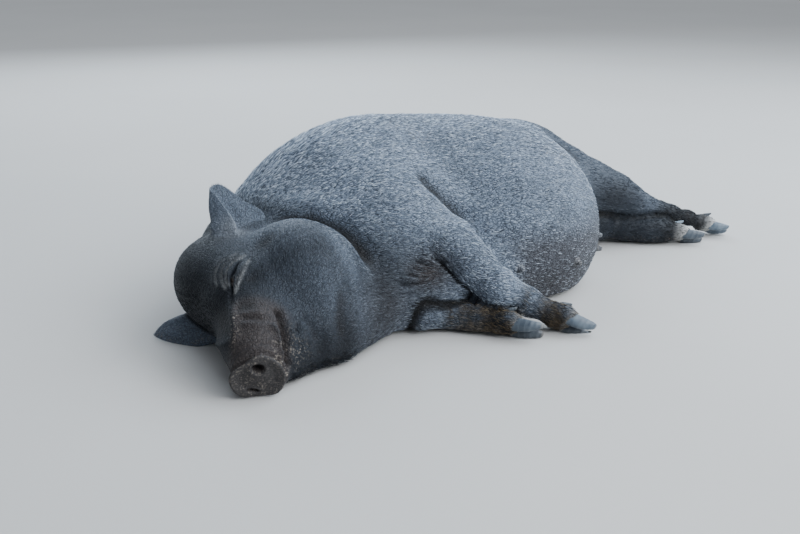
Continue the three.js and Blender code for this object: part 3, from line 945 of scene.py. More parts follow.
def near_teats(p, reach):
    """1 on the teats, 0 elsewhere."""
    share = np.zeros(len(p))
    for at in TEATS:
        share = np.maximum(share, smooth(1.5 * reach, reach, np.linalg.norm(p - at, axis=1)))
    return share


def shaded_gaps(p):
    """1 in the gaps where legs lie against each other or against the belly, which are painted dark as shade,
    0 elsewhere.
    """
    share = np.zeros(len(p))
    for pair, most in ((("foreleg_left", "foreleg_right"), 0.5), (("hindleg_left", "hindleg_right"), 1.0)):
        first, second = (legs[name](p) for name in pair)
        close = smooth(9, 3, np.abs(first - second)) * smooth(16, 5, np.maximum(first, second))
        share = np.maximum(share, most * close)
    for name in ("foreleg_right", "hindleg_left", "hindleg_right"):
        first, second = legs[name](p), body(p)
        close = smooth(9, 3, np.abs(first - second)) * smooth(14, 5, np.maximum(first, second))
        share = np.maximum(share, 0.8 * close * smooth(120, 90, p[:, 2]))
    return share


SHEEN_AND_GREY_PLACES = [  # painted sheen and highlight on the cheek's rim and the neck, with some grey hair: how much, middle and reach
    (0.62, (-372, -62, 150), (78, 84, 70)),  # between ear and cheek
    (0.95, (-318, -110, 120), (40, 60, 60)),  # side of the neck
    (0.30, (-400, -170, 110), (70, 60, 60)),  # cheek
    (0.75, (-352, -135, 130), (26, 60, 60)),  # behind the cheek
]
SHADED_PLACES = [  # painted shade in the brisket, the armpit and on the nape: how much darker, middle and reach
    (0.74, (-270, -140, 104), (52, 62, 64)),  # brisket
    (0.82, (-222, -172, 86), (50, 36, 42)),  # armpit
    (0.45, (-330, 60, 150), (80, 110, 80)),  # nape
]


def marks(p):
    """The hide's markings, with painted sheen and painted shade among them: for each place a share from 0 to
    1 of every kind.
    """
    _, q, across = snout_frame(p)
    bare = smooth(-9, -5, q[:, 2]) * smooth(1.35, 1.15, across)
    muzzle, _, _ = near_chain(p, MUZZLE_CHAIN)
    # Brown-grey on the muzzle's side below the bridge's edge: partly its own colour, partly painted light on
    # the lit side against the shaded bridge.
    below_bridge = smooth(3, -5, (p - BRIDGE_EDGE[2]) @ unit(SNOUT_UPWARD))
    brown = 0.9 * smooth(16, 2, muzzle) * below_bridge
    belly = smooth(-120, -175, p[:, 1]) * smooth(150, 90, p[:, 2])
    belly = belly * smooth(-90, -30, p[:, 0]) * smooth(260, 160, p[:, 0])
    brown = np.maximum(brown, 0.75 * belly)
    brown = np.maximum(brown, 0.85 * round_place(p, (-208, -172, 90), (38, 30, 28)))
    brown = np.maximum(brown, 0.5 * round_place(p, (-300, -170, 50), (70, 60, 50)))
    gold = np.zeros(len(p))
    pale = np.zeros(len(p))
    leg_share = np.zeros(len(p))
    for leg in LEGS.values():
        d, t, _ = near_chain(p, leg_chain(leg))
        on_leg = smooth(16, 5, d)
        hind = leg["balls"][0][0] > 0
        leg_share = np.maximum(leg_share, on_leg * smooth(0.12, 0.3, t))
        gold = np.maximum(gold, (0.12 if hind else 1.0) * on_leg * smooth(0.28, 0.6, t))
        pale = np.maximum(pale, (1.0 if hind else 0.3) * on_leg * smooth(0.86 if hind else 0.93, 0.97, t))
    pale = np.maximum(pale, 0.34 * near_paths(p, LID_LINES, 2.6))
    pale = np.maximum(pale, 0.2 * round_place(p, (-430, -12, 160), (26, 22, 18)))
    dust = 0.9 * near_paths(p, SANDY_EDGE, 8)
    dust = np.maximum(dust, near_paths(p, SANDY_LIP, 13))
    dust = np.maximum(dust, 0.8 * round_place(p, (-470, -205, 40), (20, 20, 34)))
    dust = np.maximum(dust, 0.8 * near_paths(p, SANDY_BACK, 14))
    dust = np.maximum(dust, 0.4 * bare)
    dust = np.maximum(dust, 0.7 * gold * smooth(30, 4, p[:, 2]))
    dust = np.maximum(dust, 0.5 * smooth(26, 4, p[:, 2]))
    # A pale bluish grey over the black hide: partly grey hair, mostly painted sheen, the sky's reflection on
    # the hair of back, flank and legs; the head stays dark.
    grey_and_sheen = smooth(-370, -300, p[:, 0] + 0.35 * p[:, 1])
    for share, at, reach in SHEEN_AND_GREY_PLACES:
        grey_and_sheen = np.maximum(grey_and_sheen, share * round_place(p, at, reach))
    grey_and_sheen = np.maximum(grey_and_sheen, 0.30 * smooth(-395, -345, p[:, 0]) * smooth(-130, -180, p[:, 1]))
    for share, at, reach in SHADED_PLACES:
        grey_and_sheen = grey_and_sheen * (1 - share * round_place(p, at, reach))
    # painted shade: less sheen low on the belly side, under the body
    grey_and_sheen = grey_and_sheen * (1 - 0.35 * smooth(-110, -170, p[:, 1]) * smooth(80, 30, p[:, 2]))
    grey_and_sheen = np.maximum(grey_and_sheen * (1 - leg_share), leg_share * (0.42 - 0.42 * gold))
    # painted shade: less sheen on the rump and on its far side
    behind = smooth(60, 150, p[:, 1])
    rump = smooth(238, 284, p[:, 0]) * (1 - behind) + 0.8 * smooth(150, 340, p[:, 0]) * behind
    grey_and_sheen = grey_and_sheen * (1 - 0.58 * rump)
    # painted shade in the hollow between thigh and belly, and low on the rump
    grey_and_sheen = grey_and_sheen * (1 - 0.85 * round_place(p, (318, -74, 92), (66, 54, 50)))
    grey_and_sheen = grey_and_sheen * (1 - 0.8 * rump * smooth(72, 52, p[:, 2]))
    grey_and_sheen = np.maximum(grey_and_sheen, 0.55 * ear_share(p))
    # painted shade in the gaps between the legs and against the belly
    gap_shade = shaded_gaps(p)
    grey_and_sheen = grey_and_sheen * (1 - gap_shade)
    teat_share = near_teats(p, 6.5)
    grey_and_sheen = np.maximum(grey_and_sheen, teat_share)
    pale = np.maximum(pale, 0.22 * teat_share)
    return {
        "gap_shade": gap_shade,
        "sleek": np.maximum(np.maximum(0.35 * smooth(-330, -390, p[:, 0]), 0.8 * rump), 0.6 * leg_share),
        "grey_and_sheen": grey_and_sheen,
        "bare": bare,
        "brown": brown,
        "gold": gold,
        "pale": pale,
        "dust": dust,
        "leg": leg_share,
        "head": smooth(-330, -390, p[:, 0]),
    }


def give(mesh, values):
    """Stores arrays on a mesh's vertices, for the materials to read."""
    for name, value in values.items():
        layer = mesh.attributes.new(name, "FLOAT", "POINT")
        layer.data.foreach_set("value", np.asarray(value, np.float32))


# ------------------------------------------------------------------ claws and eyes


CLAW_GAP = 0.2  # between the floor and the claws
CLAW_TONES_AND_LIGHT = {  # how pale the horn of each foot's upper and lower claw is drawn: partly its own tone, partly painted light, with the upper claw lit and the lower one in shade
    "foreleg_left": (0.5, 0.05),
    "foreleg_right": (0.3, 0.05),
    "hindleg_left": (0.7, 0.4),
    "hindleg_right": (0.25, 0.1),
}


def claw(name, node, at, along, front, size, tone_and_light, length, width, height):
    """A horn wall with growth rings, a flat sole and a blunt tip."""
    mesh = ball_mesh(name, 48, 40)
    x, y, z = co_of(mesh).T
    forward = (z + 1) / 2
    blunt = (1.001 - z * z) ** -0.25
    ringed = np.sin(forward * 40 + 1.2 * y)
    rings = 1 + 0.018 * ringed * smooth(0.4, 0.5, forward) * smooth(0.97, 0.85, forward)
    wall = blunt * (1 - 0.5 * forward) * np.where(x > 0, x, 0.55 * x) * rings
    breadth = blunt * (1 - 0.3 * forward) * y * rings
    shape = np.stack([height * (0.5 * wall - 0.2 * forward**2), 0.5 * width * breadth, length * forward], 1)
    points = np.array(at, float) + size * shape @ basis(along, front).T
    points[:, 2] = np.maximum(points[:, 2], CLAW_GAP)
    set_co(mesh, row(points))
    give(mesh, {"tip": forward, "tone_and_light": np.full(len(forward), tone_and_light)})
    horn = put(name, mesh, materials["horn"])
    shaded(horn)
    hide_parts(node)
    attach(horn, "root")


def add_claws():
    for leg_name, leg in LEGS.items():
        foot = leg_name.replace("leg", "foot")
        fetlock, forward, digits, front = foot_frame(leg)
        size = leg["size"]
        for side, which, tone_and_light in zip((1, -1), ("upper", "lower"), CLAW_TONES_AND_LIGHT[leg_name]):
            end = fetlock + size * (FOOT_LENGTH * forward + side * DIGIT_SPREAD * digits)
            root = end - 10 * size * forward + front
            node = f"claw_{foot}_{which}"
            claw(f"{node}_horn", node, root, forward, front, size, tone_and_light, 48, 23, 31)
            heel = fetlock - 15 * size * front - 2 * size * forward + side * 9 * size * digits
            node = f"dewclaw_{foot}_{which}"
            tone_and_light = 1.3 if node == "dewclaw_hindfoot_right_upper" else 0.1
            along = forward - 0.4 * front
            claw(f"{node}_horn", node, heel, along, front + 0.4 * forward, size, tone_and_light, 20, 10, 11)


def add_eye(node, near):
    """A wet eyeball under the lids, with a slightly raised cornea."""
    middle = settle(np.array([near], float), resting, EYE_RADIUS - 0.2, 6)[0]
    out = out_of(middle[None])
    mesh = ball_mesh(f"{node}_ball", 48, 32, EYE_RADIUS)
    ball = co_of(mesh)
    facing = unit(ball) @ out[0]
    ball = ball * (1 + 0.06 * smooth(0.75, 0.95, facing))[:, None]
    set_co(mesh, row(middle + ball))
    give(mesh, {"facing": facing})
    eye = put(f"{node}_ball", mesh, materials["eye"])
    shaded(eye)
    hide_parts(node)
    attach(eye, "root")


def shaded(obj):
    for polygon in obj.data.polygons:
        polygon.use_smooth = True


# ------------------------------------------------------------------ coat


def lie_of_coat(p, out):
    """The way the hair points: from the snout back over the body, and down the legs and tail."""
    way = np.tile(unit((1, -0.42, -0.1)), (len(p), 1))
    from_snout = unit(p - (np.array(SNOUT_AT, float) + (0, 0, 10)) + 1e-3)
    on_head = smooth(-300, -400, p[:, 0])[:, None]
    way = unit(way * (1 - on_head) + from_snout * on_head)
    for chain in [*(leg_chain(leg) for leg in LEGS.values()), TAIL]:
        d, t, direction = near_chain(p, chain)
        share = (smooth(22, 6, d) * smooth(0.04, 0.25, t))[:, None]
        way = unit(way * (1 - share) + direction * share)
    for ear in EARS.values():
        tip_way = unit(ear["along"])
        q = p - np.array(ear["base"], float)
        on_ear = (smooth(2, 10, body(p)) * smooth(110, 90, np.linalg.norm(q, axis=1)))[:, None]
        way = unit(way * (1 - on_ear) + tip_way * on_ear)
    way = way - (way * out).sum(1)[:, None] * out
    return unit(way)


def ear_share(p):
    """1 on the ears, 0 elsewhere."""
    share = np.zeros(len(p))
    for ear in EARS.values():
        q = p - np.array(ear["base"], float)
        share = np.maximum(share, smooth(1.5, 6, body(p)) * smooth(115, 95, np.linalg.norm(q, axis=1)))
    return share


def tail_share(p):
    """1 on the tail, 0 elsewhere, and how far down the tail each place is."""
    d, t, _ = near_chain(p, TAIL)
    return smooth(10, 4, d) * smooth(0.1, 0.2, t), t


def coat_plan(p, out, mark):
    """Density, length in millimetres, lift in radians and half width of the tufts at each place."""
    head_part = mark["head"]
    leg_part = mark["leg"]
    ear_part = ear_share(p)
    tail_part, tail_way = tail_share(p)
    nape = smooth(30, 120, p[:, 1]) * smooth(60, 160, p[:, 2])
    nape = nape * smooth(-480, -430, p[:, 0]) * smooth(240, 60, p[:, 0])
    under = smooth(2.5, 7, p[:, 2]) * smooth(-0.95, -0.6, out[:, 2])
    belly = smooth(-110, -170, p[:, 1]) * smooth(-90, -30, p[:, 0]) * smooth(170, 110, p[:, 2])
    muzzle, _, _ = near_chain(p, MUZZLE_CHAIN)
    on_muzzle = smooth(20, 4, muzzle)
    fringe = head_part * smooth(26, 12, p[:, 2])
    fringe = fringe * smooth(-490, -470, p[:, 0]) * smooth(-120, -170, p[:, 1])
    density = 1.0 - 0.5 * belly + 0.7 * head_part + 0.7 * leg_part + 0.3 * nape
    density = density * (1 - mark["bare"]) * under
    eye = np.minimum(*[np.linalg.norm(p - np.array(at, float), axis=1) for at in EYES.values()])
    density = density * (0.35 + 0.65 * smooth(14, 26, eye))
    density = density * (1 - 0.7 * mark["gap_shade"]) * (1 - near_teats(p, 7.5))
    length = 8.0 + 5.0 * nape - 1.5 * belly
    length = length * (1 - head_part) + head_part * (5.6 - 2.4 * on_muzzle)
    length = length * (1 - leg_part) + leg_part * (7.5 - 3.0 * mark["pale"])
    length = length + 9.0 * fringe + 4.0 * nape * head_part
    length = length * (1 - ear_part) + 4.2 * ear_part
    length = length * (1 - tail_part) + tail_part * (9 + 30 * smooth(0.6, 0.95, tail_way))
    lift = 0.18 + 0.12 * nape + 0.16 * fringe + 0.05 * leg_part - 0.05 * ear_part
    half = 0.52 - 0.12 * head_part - 0.1 * ear_part + 0.04 * nape
    return density, length, lift, half


COAT_PIECES = {  # how many tufts each piece has
    "coat_face": 17000,
    "coat_cheek": 17000,
    "coat_neck": 17500,
    "coat_shoulder": 15000,
    "coat_ribs": 15500,
    "coat_belly": 15500,
    "coat_rump": 14500,
    "coat_legs": 17000,
    "coat_ears": 7000,
    "coat_tail": 900,
}


def coat_piece(p):
    """The number of the coat piece that each place belongs to."""
    names = list(COAT_PIECES)
    which = np.full(len(p), names.index("coat_shoulder"))
    which[p[:, 0] > -120] = names.index("coat_ribs")
    which[p[:, 0] > 20] = names.index("coat_belly")
    which[p[:, 0] > 170] = names.index("coat_rump")
    ahead = before_neck(p)
    which[ahead > -95] = names.index("coat_neck")
    which[ahead > 0] = names.index("coat_cheek")
    which[ahead > 62] = names.index("coat_face")
    which[np.min([legs[name](p) - 4 for name in LEGS], 0) < np.minimum(body(p), 3)] = names.index("coat_legs")
    which[tail_share(p)[0] > 0.5] = names.index("coat_tail")
    which[ear_share(p) > 0.5] = names.index("coat_ears")
    return which


MAP_EDGE = 0.004  # kept free round the coat's map
MAP_PATCH = 0.003  # of the map for each tuft


def unwrapped(p, piece):
    """Places on the coat's map: the skin of each piece unrolled round an axis of its own."""
    middle = (p.min(0) + p.max(0)) / 2
    if piece in ("coat_face", "coat_cheek", "coat_neck"):
        axis = unit((-0.62, -0.76, -0.12))
    else:
        axis = np.array((1.0, 0, 0))
    aside = unit(np.cross(axis, (0, 0, 1)))
    above = np.cross(axis, aside)
    q = p - middle
    along = q @ axis
    u = (along - along.min()) / max(np.ptp(along), 1)
    v = (np.arctan2(q @ above, q @ aside) / (2 * math.pi)) % 1
    return MAP_EDGE + (1 - 2 * MAP_EDGE) * np.stack([u, v], 1)


TUFT_FACES = np.array([
    (0, 2, 1), (0, 1, 4), (0, 4, 3), (1, 2, 5), (1, 5, 4),
    (2, 0, 3), (2, 3, 5), (3, 4, 6), (4, 5, 6), (5, 3, 6),
])
TUFT_MAP = np.array([(0, 0), (1, 0), (0.5, 0.3), (0.1, 0.6), (0.9, 0.6), (0.5, 0.8), (0.5, 1)])
TUFT_ALONG = [0, 0, 0, 0.5, 0.5, 0.5, 1.0]  # how far along the hair each of its seven corners is
ROOT_DEPTH = 0.5  # of a tuft under the skin
HAIR_GAP = 0.1  # between the floor and the hair
DEEPEST_ROOT = 4.5  # below the flesh: no hair grows in creases deeper than this


def tufts(name, roots, out, way, length, lift, half, mark, rng):
    """Tapered three-sided tufts, each bent once, as one mesh."""
    count = len(roots)
    side = np.cross(out, way)
    turn = rng.normal(0, 0.16, count)[:, None]
    way = unit(way * np.cos(turn) + side * np.sin(turn))
    side = np.cross(out, way)
    length = (length * rng.uniform(0.65, 1.25, count))[:, None]
    lift = np.clip(lift + rng.normal(0, 0.07, count), 0.08, 0.8)[:, None]
    half = (half * rng.uniform(0.75, 1.3, count))[:, None]
    first = way * np.cos(lift) + out * np.sin(lift)
    second = way * np.cos(lift * 0.35) + out * np.sin(lift * 0.35)
    base = roots - ROOT_DEPTH * out
    bend = base + 0.55 * length * first
    tip = bend + 0.55 * length * second
    points = np.empty((count, 7, 3))
    for n, turned in enumerate(2 * math.pi * np.arange(3) / 3 + math.pi / 2):
        ring = half * (math.cos(turned) * side + math.sin(turned) * out)
        points[:, n] = base + ring
        points[:, n + 3] = bend + 0.72 * ring
    points[:, 6] = tip
    mesh = bpy.data.meshes.new(name)
    faces = (TUFT_FACES[None] + 7 * np.arange(count)[:, None, None]).reshape(-1, 3)
    mesh.vertices.add(7 * count)
    mesh.loops.add(faces.size)
    mesh.polygons.add(len(faces))
    mesh.loops.foreach_set("vertex_index", faces.ravel().astype(np.int32))
    mesh.polygons.foreach_set("loop_start", np.arange(0, faces.size, 3, dtype=np.int32))
    points = points.reshape(-1, 3)
    points[:, 2] = np.maximum(points[:, 2], HAIR_GAP)
    set_co(mesh, row(points))
    mesh.update(calc_edges=True)
    spots = unwrapped(roots, name)[:, None] + (TUFT_MAP - 0.5) * MAP_PATCH
    layer = mesh.uv_layers.new(name="OFBake")
    layer.data.foreach_set("uv", spots.reshape(-1, 2)[faces.ravel()].astype(np.float32).ravel())
    shade = rng.uniform(0, 1, count)
    give(mesh, {key: np.repeat(value, 7) for key, value in mark.items()})
    give(mesh, {"shade": np.repeat(shade, 7), "along": np.tile(TUFT_ALONG, count)})
    mesh.polygons.foreach_set("use_smooth", np.ones(len(faces), bool))
    return mesh


def grow_coat(skin):
    """Sows each coat piece's tufts over the skin, as thick as the coat's plan says."""
    mesh = skin.data
    mesh.calc_loop_triangles()
    corners = np.empty(3 * len(mesh.loop_triangles), np.int32)
    mesh.loop_triangles.foreach_get("vertices", corners)
    corners = corners.reshape(-1, 3)
    points = drawing(co_of(mesh))
    normals = np.empty(3 * len(points), np.float32)
    mesh.vertex_normals.foreach_get("vector", normals)
    normals = normals.reshape(-1, 3).astype(float)
    a, b, c = (points[corners[:, n]] for n in range(3))
    area = np.linalg.norm(np.cross(b - a, c - a), axis=1) / 2
    centres = (a + b + c) / 3
    mark = marks(centres)
    facing = unit(normals[corners].mean(1))
    density = coat_plan(centres, facing, mark)[0]
    density = density * (resting(centres) > -DEEPEST_ROOT)
    which = coat_piece(centres)
    for number, (name, count) in enumerate(COAT_PIECES.items()):
        rng = np.random.default_rng(number + 5)
        count = count
        weight = area * density * (which == number)
        chosen = rng.choice(len(corners), count, p=weight / weight.sum())
        shares = rng.dirichlet((1, 1, 1), count)
        roots = (points[corners[chosen]] * shares[:, :, None]).sum(1)
        out = unit((normals[corners[chosen]] * shares[:, :, None]).sum(1))
        mark = marks(roots)
        _, length, lift, half = coat_plan(roots, out, mark)
        way = lie_of_coat(roots, out)
        coat = put(name, tufts(name, roots, out, way, length, lift, half, mark, rng), materials["coat"])
        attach(coat, "root")


# ------------------------------------------------------------------ materials


def node(tree, kind, settings=None, **values):
    """A shader node: settings are its options, values its inputs, linked where they are sockets."""
    made = tree.nodes.new(f"ShaderNode{kind}")
    for key, value in (settings or {}).items():
        setattr(made, key, value)
    for key, value in values.items():
        socket = made.inputs[key.replace("_", " ")]
        if isinstance(value, bpy.types.NodeSocket):
            tree.links.new(value, socket)
        else:
            socket.default_value = value
    return made


def sums(tree, operation, *terms):
    made = tree.nodes.new("ShaderNodeMath")
    made.operation = operation
    for socket, term in zip(made.inputs, terms):
        if isinstance(term, bpy.types.NodeSocket):
            tree.links.new(term, socket)
        else:
            socket.default_value = term
    return made.outputs[0]


def mixed(tree, share, first, second, kind="RGBA"):
    """The first value where the share is 0 and the second where it is 1."""
    made = tree.nodes.new("ShaderNodeMix")
    made.data_type = kind
    sockets = {"RGBA": (0, 6, 7, 2), "FLOAT": (0, 2, 3, 0), "VECTOR": (0, 4, 5, 1)}[kind]
    for at, value in zip(sockets, (share, first, second)):
        if isinstance(value, bpy.types.NodeSocket):
            tree.links.new(value, made.inputs[at])
        else:
            made.inputs[at].default_value = (*value, 1) if kind == "RGBA" and at else value
    return made.outputs[sockets[3]]


def between(tree, value, low, high):
    """0 below low, 1 above high, and smooth between."""
    return node(
        tree, "MapRange", {"interpolation_type": "SMOOTHSTEP"}, Value=value, From_Min=low, From_Max=high
    ).outputs["Result"]


def mark_of(tree, name):
    """One of the arrays that give() stored on the mesh."""
    return node(tree, "Attribute", {"attribute_name": name}).outputs["Fac"]


def group(name, inputs, outputs):
    """An empty shader node group, with inputs (name: value) and outputs (name: kind)."""
    tree = bpy.data.node_groups.new(name, "ShaderNodeTree")
    for key, value in inputs.items():
        kind = "NodeSocketVector" if key == "Vector" else "NodeSocketFloat"
        socket = tree.interface.new_socket(key, in_out="INPUT", socket_type=kind)
        if value is not None:
            socket.default_value = value
    for key, kind in outputs.items():
        tree.interface.new_socket(key, in_out="OUTPUT", socket_type=f"NodeSocket{kind}")
    return tree, tree.nodes.new("NodeGroupInput").outputs, tree.nodes.new("NodeGroupOutput").inputs


def use(tree, made, **values):
    return node(tree, "Group", {"node_tree": made}, **values).outputs


BLACK_HIDE = (0.006, 0.008, 0.011)
# Grey hair with the sky's painted sheen on it.
GREY_AND_SHEEN_HIDE = (0.245, 0.300, 0.385)
CLOUDED_HIDE = (0.030, 0.034, 0.042)
BROWN_HIDE = (0.062, 0.050, 0.046)
GOLDEN_HIDE = (0.085, 0.062, 0.038)
PALE_HIDE = (0.72, 0.71, 0.69)
SNOUT_SKIN = (0.055, 0.050, 0.048)
SANDY_DUST = (0.38, 0.33, 0.275)


def hide_colours():
    """The colour under every mark of the hide, for skin and coat alike, the sky's painted sheen on the body
    among them.
    """
    tree, _, outs = group("hide colours", {}, {"Color": "Color"})
    place = node(tree, "TexCoord").outputs["Object"]
    clouds = node(tree, "TexNoise", Vector=place, Scale=9.0, Detail=4.0, Roughness=0.6).outputs["Fac"]
    specks = node(tree, "TexNoise", Vector=place, Scale=330.0, Detail=2.0).outputs["Fac"]
    patches = node(tree, "TexNoise", Vector=place, Scale=55.0, Detail=3.0).outputs["Fac"]
    # painted sheen: the sky's reflection on the body, with some grey hair
    colour = mixed(tree, mark_of(tree, "grey_and_sheen"), BLACK_HIDE, GREY_AND_SHEEN_HIDE)
    cloudy = sums(tree, "MULTIPLY", between(tree, clouds, 0.4, 0.7), 0.3)
    colour = mixed(tree, cloudy, colour, CLOUDED_HIDE)
    colour = mixed(tree, mark_of(tree, "brown"), colour, BROWN_HIDE)
    gold = sums(tree, "MULTIPLY", mark_of(tree, "gold"), between(tree, patches, 0.3, 0.75))
    colour = mixed(tree, gold, colour, GOLDEN_HIDE)
    colour = mixed(tree, mark_of(tree, "pale"), colour, PALE_HIDE)
    colour = mixed(tree, mark_of(tree, "bare"), colour, SNOUT_SKIN)
    grains = sums(tree, "MULTIPLY", between(tree, specks, 0.53, 0.62), between(tree, patches, 0.35, 0.6))
    dusty = sums(tree, "MULTIPLY", mark_of(tree, "dust"), grains)
    colour = mixed(tree, sums(tree, "MULTIPLY", dusty, 0.9), colour, SANDY_DUST)
    tree.links.new(colour, outs["Color"])
    return tree


def crease_net():
    """A net of fine creases round small plump cells: the height of the hide."""
    tree, ins, outs = group("crease net", {"Vector": None, "Size": 4.0}, {"Height": "Float"})
    scale = sums(tree, "DIVIDE", 1000.0, ins["Size"])
    shift = node(tree, "TexNoise", Vector=ins["Vector"], Scale=120.0, Detail=1.0).outputs["Color"]
    centred = node(tree, "VectorMath", {"operation": "SUBTRACT"})
    tree.links.new(shift, centred.inputs[0])
    centred.inputs[1].default_value = (0.5, 0.5, 0.5)
    bent = node(tree, "VectorMath", {"operation": "MULTIPLY_ADD"})
    tree.links.new(centred.outputs[0], bent.inputs[0])
    bent.inputs[1].default_value = (0.004, 0.004, 0.004)
    tree.links.new(ins["Vector"], bent.inputs[2])
    cells = node(tree, "TexVoronoi", {"feature": "DISTANCE_TO_EDGE"}, Vector=bent.outputs[0], Scale=scale)
    tree.links.new(between(tree, cells.outputs["Distance"], 0.0, 0.22), outs["Height"])
    return tree


LIES = (-0.4, 0.89, -1.05)  # turns of the coat's lie about Z, in radians: on body, head and legs


def lie_turned(tree, stretch):
    """Object places turned and pressed so that patterns run with the coat on body, head and legs."""
    place = node(tree, "TexCoord").outputs["Object"]
    texture = {"vector_type": "TEXTURE"}
    long = (stretch, 1, 1)
    made = [
        node(tree, "Mapping", texture, Vector=place, Rotation=(0, 0, turn), Scale=long).outputs["Vector"]
        for turn in LIES
    ]
    head = sums(tree, "GREATER_THAN", mark_of(tree, "head"), 0.5)
    leg = sums(tree, "GREATER_THAN", mark_of(tree, "leg"), 0.5)
    return mixed(tree, leg, mixed(tree, head, made[0], made[1], "VECTOR"), made[2], "VECTOR")


def new_material(name):
    material = bpy.data.materials.new(name)
    material.use_nodes = True
    return material, material.node_tree, material.node_tree.nodes["Principled BSDF"]


def hide_material(colours, net):
    material, tree, surface = new_material("hide")
    lie = lie_turned(tree, 4.0)
    squat = lie_turned(tree, 1.6)
    streaks = node(tree, "TexNoise", Vector=lie, Scale=520.0, Detail=2.0, Roughness=0.6).outputs["Fac"]
    fine_net = use(tree, net, Vector=squat, Size=3.0)["Height"]
    broad_net = use(tree, net, Vector=squat, Size=5.6)["Height"]
    place = node(tree, "TexCoord").outputs["Object"]
    pores = node(tree, "TexNoise", Vector=place, Scale=1500.0, Detail=2.0).outputs["Fac"]
    pits = node(tree, "TexVoronoi", Vector=place, Scale=650.0).outputs["Distance"]
    nets = sums(tree, "MULTIPLY_ADD", broad_net, 0.45, sums(tree, "MULTIPLY", fine_net, 0.55))
    nets = mixed(tree, mark_of(tree, "sleek"), nets, 0.6, "FLOAT")
    height = sums(tree, "ADD", nets, sums(tree, "MULTIPLY", streaks, 0.55))
    height = sums(tree, "ADD", height, sums(tree, "MULTIPLY", pores, 0.12))
    bare_height = sums(tree, "ADD", sums(tree, "MULTIPLY", pits, 0.35), sums(tree, "MULTIPLY", pores, 0.2))
    height = mixed(tree, mark_of(tree, "bare"), height, bare_height, "FLOAT")
    bump = node(tree, "Bump", Strength=0.9, Distance=0.0016, Height=height).outputs["Normal"]
    colour = use(tree, colours)["Color"]
    # painted highlight: pale glints of lit hair along the streaks, bluish where the sky's sheen is painted
    glint = between(tree, streaks, 0.56, 0.74)
    pale_hair_and_sheen = mixed(tree, mark_of(tree, "grey_and_sheen"), (0.022, 0.026, 0.032), (0.42, 0.48, 0.57))
    colour = mixed(tree, sums(tree, "MULTIPLY", glint, 0.5), colour, pale_hair_and_sheen)
    # painted shade in the creases of the net
    groove_shade = sums(tree, "SUBTRACT", 1.0, nets)
    colour = mixed(tree, sums(tree, "MULTIPLY", groove_shade, 0.85), colour, (0.006, 0.006, 0.008))
    # painted shade in the sculpted creases
    colour = mixed(tree, mark_of(tree, "fold"), colour, (0.006, 0.005, 0.005))
    # painted shade in the gaps between the legs and against the belly
    colour = mixed(tree, mark_of(tree, "gap_shade"), colour, (0.004, 0.004, 0.004))
    tree.links.new(colour, surface.inputs["Base Color"])
    tree.links.new(bump, surface.inputs["Normal"])
    rough = mixed(tree, glint, 0.50, 0.36, "FLOAT")
    rough = mixed(tree, mark_of(tree, "dust"), rough, 0.75, "FLOAT")
    tree.links.new(rough, surface.inputs["Roughness"])
    surface.inputs["Specular IOR Level"].default_value = 0.2
    surface.inputs["Sheen Weight"].default_value = 0.02
    surface.inputs["Sheen Roughness"].default_value = 0.45
    surface.inputs["Sheen Tint"].default_value = (0.62, 0.78, 1.0, 1)
    return material


def coat_material(colours):
    material, tree, surface = new_material("coat")
    colour = use(tree, colours)["Color"]
    shade = mark_of(tree, "shade")
    # pale hairs at random, which take the bluish grey of the painted sky sheen where that sheen is painted on
    # the body
    pale_hair_and_sheen = mixed(tree, mark_of(tree, "grey_and_sheen"), (0.030, 0.036, 0.045), (0.70, 0.78, 0.88))
    colour = mixed(tree, sums(tree, "MULTIPLY", between(tree, shade, 0.6, 0.95), 0.8), colour, pale_hair_and_sheen)
    dark = sums(tree, "MULTIPLY", between(tree, shade, 0.45, 0.0), 0.7)
    colour = mixed(tree, dark, colour, (0.010, 0.010, 0.012))
    root = between(tree, mark_of(tree, "along"), 0.7, 0.0)
    colour = mixed(tree, sums(tree, "MULTIPLY", root, 0.5), colour, (0.008, 0.008, 0.009))
    gold = sums(tree, "MULTIPLY", mark_of(tree, "gold"), between(tree, shade, 0.3, 0.8))
    colour = mixed(tree, sums(tree, "MULTIPLY", gold, 0.6), colour, (0.20, 0.15, 0.085))
    tree.links.new(colour, surface.inputs["Base Color"])
    rough = mixed(tree, shade, 0.40, 0.60, "FLOAT")
    tree.links.new(rough, surface.inputs["Roughness"])
    surface.inputs["Specular IOR Level"].default_value = 0.16
    return material


